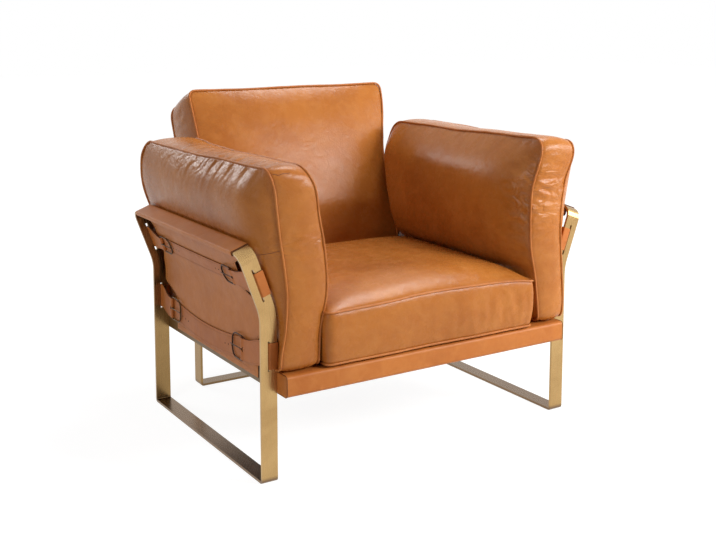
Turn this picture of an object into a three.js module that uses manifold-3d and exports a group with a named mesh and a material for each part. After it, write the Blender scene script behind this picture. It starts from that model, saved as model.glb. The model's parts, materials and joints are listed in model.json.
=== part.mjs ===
// A leather lounge chair: four loose cushions on a low seat base, held by three loops of flat brass bar.
// Each loop stands on its floor bar, leans outward above the base, and carries a leather sling that is
// sleeved over its top rail and laced to its two posts by buckled straps.
//
// X runs across the chair, +Y to the back and +Z up. The origin is on the floor at the middle of the
// chair. The pieces are laid out from the front faces of the front posts, and moved to the origin
// together. Left and right are as seen from the front.

import * as THREE from 'three';
import { mergeVertices } from 'three/addons/utils/BufferGeometryUtils.js';
import Module from 'manifold-3d';

const wasm = await Module();
wasm.setup();

const { clamp, degToRad, lerp, smoothstep } = THREE.MathUtils;

// Driving sizes in millimetres

const clearance = 0.3;
const cutOverrun = 2;
const middleDepth = 373.5; // from the front posts' front faces to the origin

// Flat bar loops
const barWidth = 38;
const barThickness = 6;
const frameWidth = 855;
const sideLoopLength = 597;
const backLoopInset = 144.5; // from the side loops' outer faces
const backLoopLength = frameWidth - 2 * backLoopInset;
const loopRise = 523; // up the middle of a post, from the floor to the top of the rail
const floorBendRadius = 8;
const railBendRadius = 28;
const leanAngle = degToRad(20.3);
const leanStart = 349;
const leanRadius = 130;
const slotWidth = 5;

// Seat base
const baseOverhang = 40; // ahead of the front posts
const baseUnderside = 195;
const baseHeight = 48;
const baseDepth = 677;
const frontRailDepth = 60;
const frontRailRounding = 9;
const angleWall = 6;
const angleLedge = 32;
const deckFrameWidth = 60;
const webbingThickness = 3;
const webbingStrip = 50;
const webbingCount = { across: 6, along: 7 };

// Leather straps, loops and buckles
const leather = 2;
const upperSlotDrop = 83; // from the top of the rail to the middle of the slot
const upperStrapDrop = 6; // of the strap below the middle of its slot
const upperLace = {
	slot: { centre: loopRise - upperSlotDrop, length: 76 },
	loopHeight: 56,
	strapHeight: 36,
	strapCentre: loopRise - upperSlotDrop - upperStrapDrop,
	sag: 3,
};
const lowerSlotRise = 37; // from the top of the seat base
const lowerStrapDrop = 16;
const lowerLace = {
	slot: { centre: baseUnderside + baseHeight + lowerSlotRise, length: 66 },
	loopHeight: 58,
	strapHeight: 50,
	strapCentre: baseUnderside + baseHeight + lowerSlotRise - lowerStrapDrop,
	sag: 17,
};
const frontReach = 126; // from a post's outer face to the buckle's heel bar
const rearReach = 78;
const backReach = 104;
const buckleLength = 50;
const buckleMargin = 1.5; // beside the strap, inside the buckle
const buckleBar = 1.7; // radius
const buckleHeelRounding = 3;
const buckleTipRounding = 13;
const buckleLift = 0.5; // of the buckle's plane outward from the middle of the bar
const tongueBar = 1.2; // radius
const tongueTail = 4; // past the tip bar
const tongueWindow = 3.6; // height of the hole for it in the leather
const loopSpread = 34; // from the post's outer face to where the two layers of a loop meet

// Slings
const slingLeather = 2.2;
const slingPlane = -5.5; // of its middle, outward from the middle of the bar
const slingFloorGap = 3; // from the top of the seat base to the sling's lower edge
const sleeveInset = 28;
const slingTabInset = 26;
const slingLaceInset = 97;
const slingLaceMargin = 31; // straight part of a corner cut, above and below the lace's middle
const slingCutHeight = 34; // rounded part beyond it
const slingSeamDrop = 20; // how far the sleeve's end comes down the sling
const strapPlane = slingPlane + ( slingLeather + leather ) / 2 + clearance;

// Cushions
const weltRadius = 3.5;
const boxingCrown = 7;
const seatCushion = {
	sideInset: 52, // from the arm cushions' middle planes
	front: -45,
	backGap: 2.3, // to the back cushion
	edgeHeight: 364,
	frontArch: 9,
	crown: 38,
	crownPower: 3.4,
	cornerRadius: 16,
	drawnIn: 5,
};
const armCushion = {
	front: -30,
	rearOverhang: 5, // past the rear posts
	top: 690,
	middleInset: 68.5, // from the side loops' bar middles
	thickness: 95,
	crownPower: 12,
	cornerRadius: 32,
	drawnIn: 6,
	flattening: 80, // ahead of the back cushion's face, over which the inner face flattens
};
const backCushion = {
	widening: 21, // of each side above the rail
	widenStart: 37, // above the rail
	widenEnd: 137,
	top: 777,
	front: -131,
	rear: -14,
	crown: 36,
	crownPower: 3.4,
	cornerRadius: 30,
	drawnIn: 7,
};

// Shares of the arm cushion's height, of which the rail's is the first, and of the way outward from its
// middle plane to the rail
const armRailShare = 0.623;
const armOuterWeltShares = [[0, 0.45], [0.21, 0.405], [0.41, 0.37], [0.66, 0.515], [0.9, 0.635], [1, 0.735]];
const armInnerWeltShares = [[0, -0.37], [0.2, -0.46], [0.28, -0.5], [0.38, -0.58], [0.56, -0.58], [0.76, -0.4], [0.94, -0.23], [1, -0.14]];
const armOuterCrownShares = [[0, 0.405], [0.12, 0.49], [0.24, 0.545], [0.35, 0.625], [0.47, 0.775], [0.57, 0.865], [0.63, 0.885], [0.7, 1.01], [0.78, 1.15], [0.83, 1.19], [0.92, 1.08], [1, 0.875]];
// and of its thickness inward
const armInnerCrownShares = [[0, -0.42], [0.2, -0.46], [0.31, -0.49], [0.36, -0.68], [0.42, -0.88], [0.52, -0.96], [0.65, -0.96], [0.8, -0.9], [0.9, -0.76], [0.96, -0.58], [1, -0.4]];
// Shares of the back cushion's height, of which the rail's is the first, and of its thickness backward
const backRailShare = 0.54;
const backRearShares = [[0, 0], [0.26, 0], [0.38, -0.05], [0.5, -0.11], [0.57, -0.11], [0.68, 0.06], [0.8, 0.2], [1, 0.12]];

// Finishes

const finishes = {
	brass: new THREE.MeshStandardMaterial({ color: 0xb39564, metalness: 0.9, roughness: 0.42 }),
	darkBrass: new THREE.MeshStandardMaterial({ color: 0x5c4630, metalness: 0.8, roughness: 0.45 }),
	leather: new THREE.MeshStandardMaterial({ color: 0xb87442, roughness: 0.5 }),
	hide: new THREE.MeshStandardMaterial({ color: 0xa86a42, roughness: 0.6 }),
	timber: new THREE.MeshStandardMaterial({ color: 0xc9a878, roughness: 0.8 }),
	webbing: new THREE.MeshStandardMaterial({ color: 0x2b2a28, roughness: 0.9 }),
};

// Geometry helpers

// Joins matching rings of points into one closed body. Open ends are closed by strips between opposite
// points of the end ring, or by fans to the points given in centres.
function loft( rings, { loop = false, centres = null } = {} ) {

	const count = rings[ 0 ].length;
	const points = rings.flat();
	const faces = [];
	const joins = loop ? rings.length : rings.length - 1;

	for ( let r = 0; r < joins; r ++ ) {

		const here = r * count;
		const next = ( ( r + 1 ) % rings.length ) * count;

		for ( let i = 0; i < count; i ++ ) {

			const j = ( i + 1 ) % count;
			faces.push( here + i, here + j, next + j, here + i, next + j, next + i );

		}

	}

	if ( ! loop ) {

		const ends = [ 0, ( rings.length - 1 ) * count ];

		ends.forEach( ( start, e ) => {

			const cap = [];

			if ( centres ) {

				points.push( centres[ e ] );
				for ( let i = 0; i < count; i ++ ) cap.push( [ points.length - 1, start + i, start + ( i + 1 ) % count ] );

			} else {

				for ( let i = 0; i < count / 2 - 1; i ++ ) {

					const across = count - 1 - i;
					cap.push( [ start + i, start + i + 1, start + across - 1 ] );
					cap.push( [ start + i, start + across - 1, start + across ] );

				}

			}

			for ( const [ a, b, c ] of cap ) faces.push( ...( e === 0 ? [ a, c, b ] : [ a, b, c ] ) );

		} );

	}

	return outwardGeometry( points, faces );

}

// An indexed geometry whose faces are turned to point outward.
function outwardGeometry( points, faces ) {

	let volume = 0;

	for ( let f = 0; f < faces.length; f += 3 ) {

		const [ a, b, c ] = [ 0, 1, 2 ].map( ( k ) => points[ faces[ f + k ] ] );
		volume += a.dot( new THREE.Vector3().crossVectors( b, c ) );

	}

	if ( volume < 0 ) faces.reverse();

	const geometry = new THREE.BufferGeometry();
	geometry.setAttribute( 'position', new THREE.Float32BufferAttribute( points.flatMap( ( p ) => p.toArray() ), 3 ) );
	geometry.setIndex( faces );
	geometry.computeVertexNormals();
	return geometry;

}

function toManifold( geometry ) {

	const bare = geometry.clone();
	bare.deleteAttribute( 'normal' );
	bare.deleteAttribute( 'uv' );
	const merged = mergeVertices( bare );
	const vertProperties = new Float32Array( merged.attributes.position.array );
	const triVerts = new Uint32Array( merged.index.array );
	return new wasm.Manifold( new wasm.Mesh( { numProp: 3, vertProperties, triVerts } ) );

}

function fromManifold( solid ) {

	const { vertProperties, triVerts } = solid.getMesh();
	const geometry = new THREE.BufferGeometry();
	geometry.setAttribute( 'position', new THREE.BufferAttribute( new Float32Array( vertProperties ), 3 ) );
	geometry.setIndex( new THREE.BufferAttribute( new Uint32Array( triVerts ), 1 ) );
	geometry.computeVertexNormals();
	return geometry;

}

function cut( geometry, cutters ) {

	let solid = toManifold( geometry );
	for ( const cutter of cutters ) solid = solid.subtract( toManifold( cutter ) );
	return fromManifold( solid );

}

function block( low, high ) {

	const size = new THREE.Vector3().subVectors( high, low );
	const middle = new THREE.Vector3().addVectors( low, high ).multiplyScalar( 0.5 );
	return new THREE.BoxGeometry( ...size.toArray() ).translate( ...middle.toArray() );

}

// A smooth curve through [ place, value ] pairs.
function through( pairs ) {

	return ( place ) => {

		const last = pairs.length - 1;
		let k = 0;
		while ( k < last - 1 && place > pairs[ k + 1 ][ 0 ] ) k ++;
		const [ before, from, to, after ] = [ k - 1, k, k + 1, k + 2 ].map( ( i ) => pairs[ clamp( i, 0, last ) ] );
		const width = to[ 0 ] - from[ 0 ];
		const t = clamp( ( place - from[ 0 ] ) / width, 0, 1 );
		const startSlope = ( to[ 1 ] - before[ 1 ] ) / ( to[ 0 ] - before[ 0 ] ) * width;
		const endSlope = ( after[ 1 ] - from[ 1 ] ) / ( after[ 0 ] - from[ 0 ] ) * width;
		const t2 = t * t;
		const t3 = t2 * t;
		return ( 2 * t3 - 3 * t2 + 1 ) * from[ 1 ] + ( t3 - 2 * t2 + t ) * startSlope
			+ ( 3 * t2 - 2 * t3 ) * to[ 1 ] + ( t3 - t2 ) * endSlope;

	};

}

function steps( from, to, count ) {

	return Array.from( { length: count + 1 }, ( _, i ) => lerp( from, to, i / count ) );

}

function arc( centre, radius, from, to, count ) {

	return steps( degToRad( from ), degToRad( to ), count ).map( ( angle ) => ( {
		x: centre[ 0 ] + radius * Math.cos( angle ),
		y: centre[ 1 ] + radius * Math.sin( angle ),
		normal: [ Math.cos( angle ), Math.sin( angle ) ],
	} ) );

}

// Loop coordinates

// A place on a loop is ( out, along, up ): out from the middle of the bar, along the floor bar and up the
// post. The posts bend edgewise above the base, and everything on them follows the bend.
function lean( out, up ) {

	const angle = clamp( ( up - leanStart ) / leanRadius, 0, leanAngle );
	const beyond = Math.max( up - leanStart - leanRadius * leanAngle, 0 );
	const turn = leanRadius - out;
	return {
		out: leanRadius - turn * Math.cos( angle ) + beyond * Math.sin( angle ),
		up: Math.min( up, leanStart ) + turn * Math.sin( angle ) + beyond * Math.cos( angle ),
	};

}

const baseTop = baseUnderside + baseHeight;
const baseHalfWidth = frameWidth / 2 - barWidth - clearance;
const baseBack = baseDepth - baseOverhang;
const sideMiddle = ( frameWidth - barWidth ) / 2;
const leanEnd = leanStart + leanRadius * leanAngle;
const leanSteps = steps( leanStart, leanEnd, 5 );

const loops = {
	left: {
		start: new THREE.Vector3( - sideMiddle, 0, 0 ),
		outward: new THREE.Vector3( - 1, 0, 0 ),
		along: new THREE.Vector3( 0, 1, 0 ),
		length: sideLoopLength,
		reaches: { front: frontReach, rear: rearReach },
	},
	right: {
		start: new THREE.Vector3( sideMiddle, 0, 0 ),
		outward: new THREE.Vector3( 1, 0, 0 ),
		along: new THREE.Vector3( 0, 1, 0 ),
		length: sideLoopLength,
		reaches: { front: frontReach, rear: rearReach },
	},
	back: {
		start: new THREE.Vector3( - backLoopLength / 2, baseBack + clearance + barWidth / 2, 0 ),
		outward: new THREE.Vector3( 0, 1, 0 ),
		along: new THREE.Vector3( 1, 0, 0 ),
		length: backLoopLength,
		reaches: { front: backReach, rear: backReach },
	},
};

function onLoop( loop, out, along, up ) {

	const leaned = lean( out, up );
	return loop.start.clone()
		.addScaledVector( loop.outward, leaned.out )
		.addScaledVector( loop.along, along )
		.setZ( leaned.up );

}

// The same place measured from the loop's front or rear post, which are the back loop's left and right.
function atPost( loop, post, out, inward, up ) {

	return onLoop( loop, out, post === 'front' ? inward : loop.length - inward, up );

}

// Flat bar loops

function loopFrame( loop ) {

	const half = barThickness / 2;
	const { length } = loop;
	const floor = floorBendRadius - half;
	const rail = railBendRadius - half;
	const path = [
		...arc( [ length - floorBendRadius, floorBendRadius ], floor, - 90, 0, 3 ),
		...leanSteps.map( ( up ) => ( { x: length - half, y: up, normal: [ 1, 0 ] } ) ),
		...arc( [ length - railBendRadius, loopRise - railBendRadius ], rail, 0, 90, 8 ),
		...arc( [ railBendRadius, loopRise - railBendRadius ], rail, 90, 180, 8 ),
		...leanSteps.toReversed().map( ( up ) => ( { x: half, y: up, normal: [ - 1, 0 ] } ) ),
		...arc( [ floorBendRadius, floorBendRadius ], floor, 180, 270, 3 ),
	];
	const corners = [ [ 1, - 1 ], [ 1, 1 ], [ - 1, 1 ], [ - 1, - 1 ] ];
	const rings = path.map( ( { x, y, normal } ) => corners.map( ( [ side, face ] ) => onLoop(
		loop,
		side * barWidth / 2,
		x + face * half * normal[ 0 ],
		y + face * half * normal[ 1 ],
	) ) );
	return cut( loft( rings, { loop: true } ), postSlots( loop ) );

}

function postSlots( loop ) {

	const ends = [ upperLace, lowerLace ].map( ( { slot } ) => [ slot.centre - slot.length / 2, slot.centre + slot.length / 2 ] );
	const across = [ [ - 1, - cutOverrun ], [ 1, - cutOverrun ], [ 1, barThickness + cutOverrun ], [ - 1, barThickness + cutOverrun ] ];
	return [ 'front', 'rear' ].flatMap( ( post ) => ends.map( ( slot ) => loft( slot.map( ( up ) =>
		across.map( ( [ side, inward ] ) => atPost( loop, post, side * slotWidth / 2, inward, up ) ) ) ) ) );

}

// Straps, loops and buckles

// A band of leather along a path of { inward, out, low, high }, seen edge on from above.
function band( place, path, thickness, closed = false ) {

	const rings = path.map( ( point, i ) => {

		const before = path[ closed ? ( i + path.length - 1 ) % path.length : Math.max( i - 1, 0 ) ];
		const after = path[ closed ? ( i + 1 ) % path.length : Math.min( i + 1, path.length - 1 ) ];
		const run = new THREE.Vector2( after.inward - before.inward, after.out - before.out ).normalize();
		return [ [ 1, point.low ], [ 1, point.high ], [ - 1, point.high ], [ - 1, point.low ] ].map( ( [ side, up ] ) => place(
			point.out + side * run.x * thickness / 2,
			point.inward - side * run.y * thickness / 2,
			up,
		) );

	} );
	return loft( rings, { loop: closed } );

}

const heelWrap = buckleBar + clearance + leather / 2;
const postWrap = clearance + leather / 2;
const slotPass = - slotWidth / 2 + postWrap;
const layerOffset = ( leather + clearance ) / 2;

// A doubled loop of leather: round the inner half of the post, through its slot, and round the heel bar.
function postLoop( loop, post, lace ) {

	const reach = loop.reaches[ post ];
	const innerEdge = - barWidth / 2;
	const layersFrom = reach - 4 * heelWrap;
	const onPath = ( { x, y } ) => ( { inward: x, out: y } );
	const path = [
		...arc( [ reach, buckleLift ], heelWrap, 90, - 90, 4 ).map( onPath ),
		{ inward: layersFrom, out: buckleLift - layerOffset },
		{ inward: loopSpread, out: buckleLift - layerOffset },
		...arc( [ barThickness, innerEdge ], postWrap, 20, - 90, 3 ).map( onPath ),
		...arc( [ 0, innerEdge ], postWrap, - 90, - 180, 2 ).map( onPath ),
		...arc( [ 0, - slotWidth / 2 ], postWrap, 180, 90, 2 ).map( onPath ),
		{ inward: barThickness + leather, out: slotPass },
		{ inward: loopSpread, out: buckleLift + layerOffset },
		{ inward: layersFrom, out: buckleLift + layerOffset },
	];
	const narrows = ( inward ) => clamp( ( inward - loopSpread / 2 ) / ( layersFrom - loopSpread / 2 ), 0, 1 );
	const sized = path.map( ( point ) => {

		const middle = lerp( lace.slot.centre, lace.strapCentre, narrows( point.inward ) );
		const half = lerp( lace.loopHeight, lace.strapHeight, narrows( point.inward ) ) / 2;
		return { ...point, low: middle - half, high: middle + half };

	} );
	const place = ( out, inward, up ) => atPost( loop, post, out, inward, up );
	const wrapped = band( place, sized, leather, true );
	return cut( wrapped, [ tongueHole( loop, post, lace ) ] );

}

function tongueHole( loop, post, lace ) {

	const half = tongueSwing + clearance;
	const corners = [ [ - 1, - 1 ], [ 1, - 1 ], [ 1, 1 ], [ - 1, 1 ] ];
	return loft( [ - 1, 1 ].map( ( end ) => corners.map( ( [ side, face ] ) => atPost(
		loop,
		post,
		buckleLift + face * ( heelWrap + leather + cutOverrun ),
		loop.reaches[ post ] + side * half,
		lace.strapCentre + end * tongueWindow / 2,
	) ) ) );

}

// How far the tongue's eye reaches from the heel bar's axis.
const tongueEye = buckleBar + clearance + tongueBar;
const tongueSwing = tongueEye + tongueBar;

// The long strap lies on the sling, runs under both tip bars and ends at the heel bars.
function longStrap( loop, lace ) {

	const stop = tongueSwing + clearance;
	const from = loop.reaches.front + stop;
	const to = loop.length - loop.reaches.rear - stop;
	const path = steps( from, to, 10 ).map( ( along ) => {

		const share = ( along - from ) / ( to - from );
		const middle = lace.strapCentre - lace.sag * 4 * share * ( 1 - share );
		return {
			inward: along,
			out: strapPlane,
			low: middle - lace.strapHeight / 2,
			high: middle + lace.strapHeight / 2,
		};

	} );
	return band( ( out, along, up ) => onLoop( loop, out, along, up ), path, leather );

}

// A round bar bent through { inward, out, up } points, with a six-sided section.
function bentBar( place, path, radius, closed ) {

	const sectionAngles = steps( 0, 2 * Math.PI, 6 ).slice( 0, 6 );
	const vector = ( { inward, out, up } ) => new THREE.Vector3( inward, out, up );
	const rings = path.map( ( point, i ) => {

		const before = path[ closed ? ( i + path.length - 1 ) % path.length : Math.max( i - 1, 0 ) ];
		const after = path[ closed ? ( i + 1 ) % path.length : Math.min( i + 1, path.length - 1 ) ];
		const run = vector( after ).sub( vector( before ) ).normalize();
		const side = new THREE.Vector3( ...point.side );
		const face = new THREE.Vector3().crossVectors( run, side ).normalize();
		return sectionAngles.map( ( angle ) => {

			const p = vector( point )
				.addScaledVector( side, radius * Math.cos( angle ) )
				.addScaledVector( face, radius * Math.sin( angle ) );
			return place( p.y, p.x, p.z );

		} );

	} );
	return loft( rings, { loop: closed } );

}

function buckle( loop, post, lace ) {

	const heel = loop.reaches[ post ];
	const tip = heel + buckleLength;
	const half = lace.strapHeight / 2 + buckleMargin + buckleBar;
	const corner = ( inward, up, rounding, from, to, count ) => arc( [ inward, up ], rounding, from, to, count );
	const outline = [
		...corner( tip - buckleTipRounding, half - buckleTipRounding, buckleTipRounding, 0, 90, 4 ),
		...corner( heel + buckleHeelRounding, half - buckleHeelRounding, buckleHeelRounding, 90, 180, 2 ),
		...corner( heel + buckleHeelRounding, buckleHeelRounding - half, buckleHeelRounding, 180, 270, 2 ),
		...corner( tip - buckleTipRounding, buckleTipRounding - half, buckleTipRounding, 270, 360, 4 ),
	];
	const path = outline.map( ( { x, y, normal } ) => ( {
		inward: x,
		out: buckleLift,
		up: lace.strapCentre + y,
		side: [ normal[ 0 ], 0, normal[ 1 ] ],
	} ) );
	return bentBar( ( out, inward, up ) => atPost( loop, post, out, inward, up ), path, buckleBar, true );

}

function tongue( loop, post, lace ) {

	const heel = loop.reaches[ post ];
	const eye = arc( [ heel, buckleLift ], tongueEye, 260, 90, 6 );
	const end = heel + buckleLength + tongueTail;
	const top = buckleLift + tongueEye;
	const pin = [ [ heel + buckleLength / 2, top ], [ end, top ] ].map( ( [ x, y ] ) => ( { x, y, normal: [ 0, 1 ] } ) );
	const path = [ ...eye, ...pin ].map( ( { x, y, normal } ) => ( {
		inward: x,
		out: y,
		up: lace.strapCentre,
		side: [ normal[ 0 ], normal[ 1 ], 0 ],
	} ) );
	return bentBar( ( out, inward, up ) => atPost( loop, post, out, inward, up ), path, tongueBar, false );

}

// Slings

// How far the sling's edge stands in from the posts at each height.
function slingInset( up ) {

	const railUnderside = loopRise - barThickness;
	const nearUpper = 1 - smoothstep( Math.abs( up - upperLace.slot.centre ), slingLaceMargin, slingLaceMargin + slingCutHeight );
	const aboveLower = 1 - smoothstep( up, lowerLace.slot.centre + slingLaceMargin / 2, lowerLace.slot.centre + slingLaceMargin / 2 + slingCutHeight );
	const open = lerp( slingTabInset, slingLaceInset, Math.max( nearUpper, aboveLower ) );
	return lerp( open, sleeveInset, smoothstep( up, upperLace.slot.centre + slingLaceMargin, railUnderside - barThickness ) );

}

function sling( loop ) {

	const wrap = clearance + slingLeather / 2;
	const railTop = loopRise;
	const railUnderside = loopRise - barThickness;
	const half = barWidth / 2;
	const seamPlane = slingPlane + slingLeather + clearance;
	const seamEnd = railUnderside - slingSeamDrop;
	const laceHeights = [
		baseTop + slingFloorGap,
		lowerLace.slot.centre,
		lowerLace.slot.centre + slingLaceMargin / 2,
		...steps( lowerLace.slot.centre + slingLaceMargin / 2, leanStart, 3 ).slice( 1 ),
		...leanSteps.slice( 1 ),
		upperLace.slot.centre - slingLaceMargin,
		upperLace.slot.centre,
		upperLace.slot.centre + slingLaceMargin,
		seamEnd,
	];
	const asPoint = ( { x, y } ) => ( { out: x, up: y } );
	const path = [
		...laceHeights.map( ( up ) => ( { out: slingPlane, up } ) ),
		{ out: slingPlane - clearance, up: railUnderside - 3 * slingLeather },
		{ out: slingPlane - 2 * slingLeather, up: railUnderside - wrap - clearance },
		...arc( [ - half, railUnderside ], wrap, 270, 180, 2 ).map( asPoint ),
		...arc( [ - half, railTop ], wrap, 180, 90, 2 ).map( asPoint ),
		...arc( [ half, railTop ], wrap, 90, 0, 2 ).map( asPoint ),
		...arc( [ half, railUnderside ], wrap, 0, - 90, 2 ).map( asPoint ),
		{ out: seamPlane + 2 * slingLeather, up: railUnderside - wrap },
		{ out: seamPlane + clearance, up: railUnderside - 2 * slingLeather },
		{ out: seamPlane, up: railUnderside - 4 * slingLeather },
		{ out: seamPlane, up: seamEnd },
	];
	const columns = steps( 0, 1, 4 );
	const rings = path.map( ( point, i ) => {

		const before = path[ Math.max( i - 1, 0 ) ];
		const after = path[ Math.min( i + 1, path.length - 1 ) ];
		const run = new THREE.Vector2( after.out - before.out, after.up - before.up ).normalize();
		const inset = slingInset( point.up );
		const row = ( face ) => columns.map( ( share ) => onLoop(
			loop,
			point.out + face * run.y * slingLeather / 2,
			lerp( inset, loop.length - inset, share ),
			point.up - face * run.x * slingLeather / 2,
		) );
		return [ ...row( 1 ), ...row( - 1 ).reverse() ];

	} );
	return loft( rings );

}

// Seat base

const deckFront = frontRailDepth - baseOverhang;

function frontRail() {

	const low = { y: - baseOverhang, z: baseUnderside };
	const high = { y: deckFront, z: baseTop };
	const r = frontRailRounding;
	const section = [
		...arc( [ low.y + r, high.z - r ], r, 180, 90, 4 ),
		...arc( [ high.y - r / 2, high.z - r / 2 ], r / 2, 90, 0, 2 ),
		...arc( [ high.y - r / 2, low.z + r / 2 ], r / 2, 0, - 90, 2 ),
		...arc( [ low.y + r, low.z + r ], r, 270, 180, 4 ),
	];
	const middle = [ ( low.y + high.y ) / 2, ( low.z + high.z ) / 2 ];
	const tucked = ( { x, y, normal } ) => ( { x: x - normal[ 0 ] * r / 3, y: y - normal[ 1 ] * r / 3 } );
	const ring = ( x, points ) => points.map( ( p ) => new THREE.Vector3( x, p.x, p.y ) );
	const ends = [ - baseHalfWidth, baseHalfWidth ];
	return loft( [
		ring( ends[ 0 ], section.map( tucked ) ),
		ring( ends[ 0 ] + r / 3, section ),
		ring( ends[ 1 ] - r / 3, section ),
		ring( ends[ 1 ], section.map( tucked ) ),
	], { centres: ends.map( ( x ) => new THREE.Vector3( x, ...middle ) ) } );

}

// An angle section along one side of the base: a wall outside and a ledge under the deck.
function angleRail( from, to, inward ) {

	const wall = inward.clone().multiplyScalar( angleWall );
	const ledge = inward.clone().multiplyScalar( angleLedge );
	const up = ( z ) => new THREE.Vector3( 0, 0, z );
	// from the ledge's end round the wall and back, so that opposite points close the ends
	const outline = [
		ledge.clone().add( up( baseUnderside ) ),
		up( baseUnderside ),
		up( baseTop ),
		wall.clone().add( up( baseTop ) ),
		wall.clone().add( up( baseUnderside + angleWall ) ),
		ledge.clone().add( up( baseUnderside + angleWall ) ),
	];
	const ring = ( start ) => outline.map( ( point ) => point.clone().add( start ) );
	return loft( [ ring( from ), ring( to ) ] );

}

function sideRail( side ) {

	const x = side * baseHalfWidth;
	const from = new THREE.Vector3( x, deckFront + clearance, 0 );
	const to = new THREE.Vector3( x, baseBack, 0 );
	return angleRail( from, to, new THREE.Vector3( - side, 0, 0 ) );

}

function rearRail() {

	const reach = baseHalfWidth - angleLedge - clearance;
	const from = new THREE.Vector3( - reach, baseBack, 0 );
	const to = new THREE.Vector3( reach, baseBack, 0 );
	return angleRail( from, to, new THREE.Vector3( 0, - 1, 0 ) );

}

const deck = {
	halfWidth: baseHalfWidth - angleWall - clearance,
	front: deckFront + 2 * clearance,
	back: baseBack - angleWall - clearance,
	low: baseUnderside + angleWall + clearance,
	high: baseTop - webbingThickness - clearance,
};

function deckFrame() {

	const low = new THREE.Vector3( - deck.halfWidth, deck.front, deck.low );
	const high = new THREE.Vector3( deck.halfWidth, deck.back, deck.high );
	const inset = new THREE.Vector3( deckFrameWidth, deckFrameWidth, - cutOverrun );
	return cut( block( low, high ), [ block( low.clone().add( inset ), high.clone().sub( inset ) ) ] );

}

// Strips of elastic webbing both ways over the deck frame, tacked where they cross.
function webbing() {

	const low = new THREE.Vector3( - deck.halfWidth, deck.front, baseTop - webbingThickness );
	const high = new THREE.Vector3( deck.halfWidth, deck.back, baseTop );
	const { across, along } = webbingCount;
	const pitch = {
		x: ( high.x - low.x - webbingStrip ) / ( along - 1 ),
		y: ( high.y - low.y - webbingStrip ) / ( across - 1 ),
	};
	const gaps = [];

	for ( let i = 0; i < along - 1; i ++ ) {

		for ( let j = 0; j < across - 1; j ++ ) {

			const x = low.x + webbingStrip + i * pitch.x;
			const y = low.y + webbingStrip + j * pitch.y;
			gaps.push( block(
				new THREE.Vector3( x, y, low.z - cutOverrun ),
				new THREE.Vector3( x + pitch.x - webbingStrip, y + pitch.y - webbingStrip, high.z + cutOverrun ),
			) );

		}

	}

	return cut( block( low, high ), gaps );

}

// Cushions

// A rounded rectangle in p and q whose sides draw in between the corners.
function cushionOutline( { low, high, radius, drawnIn } ) {

	const corners = [
		{ p: high[ 0 ] - radius, q: high[ 1 ] - radius, from: 0 },
		{ p: low[ 0 ] + radius, q: high[ 1 ] - radius, from: 90 },
		{ p: low[ 0 ] + radius, q: low[ 1 ] + radius, from: 180 },
		{ p: high[ 0 ] - radius, q: low[ 1 ] + radius, from: 270 },
	];
	const outline = [];

	corners.forEach( ( corner, c ) => {

		const next = corners[ ( c + 1 ) % 4 ];
		const bend = arc( [ corner.p, corner.q ], radius, corner.from, corner.from + 90, 4 );
		outline.push( ...bend.map( ( { x, y, normal } ) => ( { p: x, q: y, normal } ) ) );
		const end = bend.at( - 1 );
		const start = arc( [ next.p, next.q ], radius, next.from, next.from + 90, 1 )[ 0 ];

		for ( const share of steps( 0, 1, 6 ).slice( 1, - 1 ) ) {

			const pull = drawnIn * Math.sin( Math.PI * share );
			outline.push( {
				p: lerp( end.x, start.x, share ) - pull * end.normal[ 0 ],
				q: lerp( end.y, start.y, share ) - pull * end.normal[ 1 ],
				normal: end.normal,
			} );

		}

	} );

	return outline;

}

// A boxed cushion between two crowned faces. welt gives the place of each face's welt across the
// thickness, and crown the place of its middle; place turns ( p, q, r ) into a point. A higher power
// keeps the crown full nearer to the welt.
function cushion( { outline, centre, welt, crown, power, place } ) {

	const faceShares = [ 0.15, 0.38, 0.62, 0.82, 0.95 ];
	const on = ( p, q, r ) => place( p, q, r );

	const faceRing = ( face, share ) => outline.map( ( edge ) => {

		const p = lerp( centre[ 0 ], edge.p, share );
		const q = lerp( centre[ 1 ], edge.q, share );
		const rise = 1 - share ** power;
		return on( p, q, lerp( welt( face, p, q ), crown( face, p, q ), rise ) );

	} );

	const edgeRing = ( outset, across ) => outline.map( ( edge ) => {

		const p = edge.p + outset * edge.normal[ 0 ];
		const q = edge.q + outset * edge.normal[ 1 ];
		return on( p, q, across( edge.p, edge.q ) );

	} );

	const weltRings = ( face ) => [
		edgeRing( - weltRadius, ( p, q ) => welt( face, p, q ) ),
		edgeRing( weltRadius, ( p, q ) => welt( face, p, q ) + face * weltRadius / 2 ),
		edgeRing( 0, ( p, q ) => welt( face, p, q ) - face * 2 * weltRadius ),
	];
	const middle = edgeRing( boxingCrown, ( p, q ) => ( welt( 1, p, q ) + welt( - 1, p, q ) ) / 2 );
	const centrePoint = ( face ) => on( centre[ 0 ], centre[ 1 ], crown( face, centre[ 0 ], centre[ 1 ] ) );
	const rings = [
		...faceShares.map( ( share ) => faceRing( - 1, share ) ),
		...weltRings( - 1 ),
		middle,
		...weltRings( 1 ).reverse(),
		...faceShares.toReversed().map( ( share ) => faceRing( 1, share ) ),
	];
	return loft( rings, { centres: [ centrePoint( - 1 ), centrePoint( 1 ) ] } );

}

const cushionFloor = baseTop + clearance;
const armMiddle = sideMiddle - armCushion.middleInset;
const armBack = sideLoopLength + armCushion.rearOverhang;
const backMiddle = loops.back.start.y;

// The share of a cushion's height, with the part beside the loop kept apart from the part above its rail.
function heightShare( q, low, rail, high, railShare ) {

	return q < rail
		? railShare * ( q - low ) / ( rail - low )
		: lerp( railShare, 1, ( q - rail ) / ( high - rail ) );

}

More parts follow.
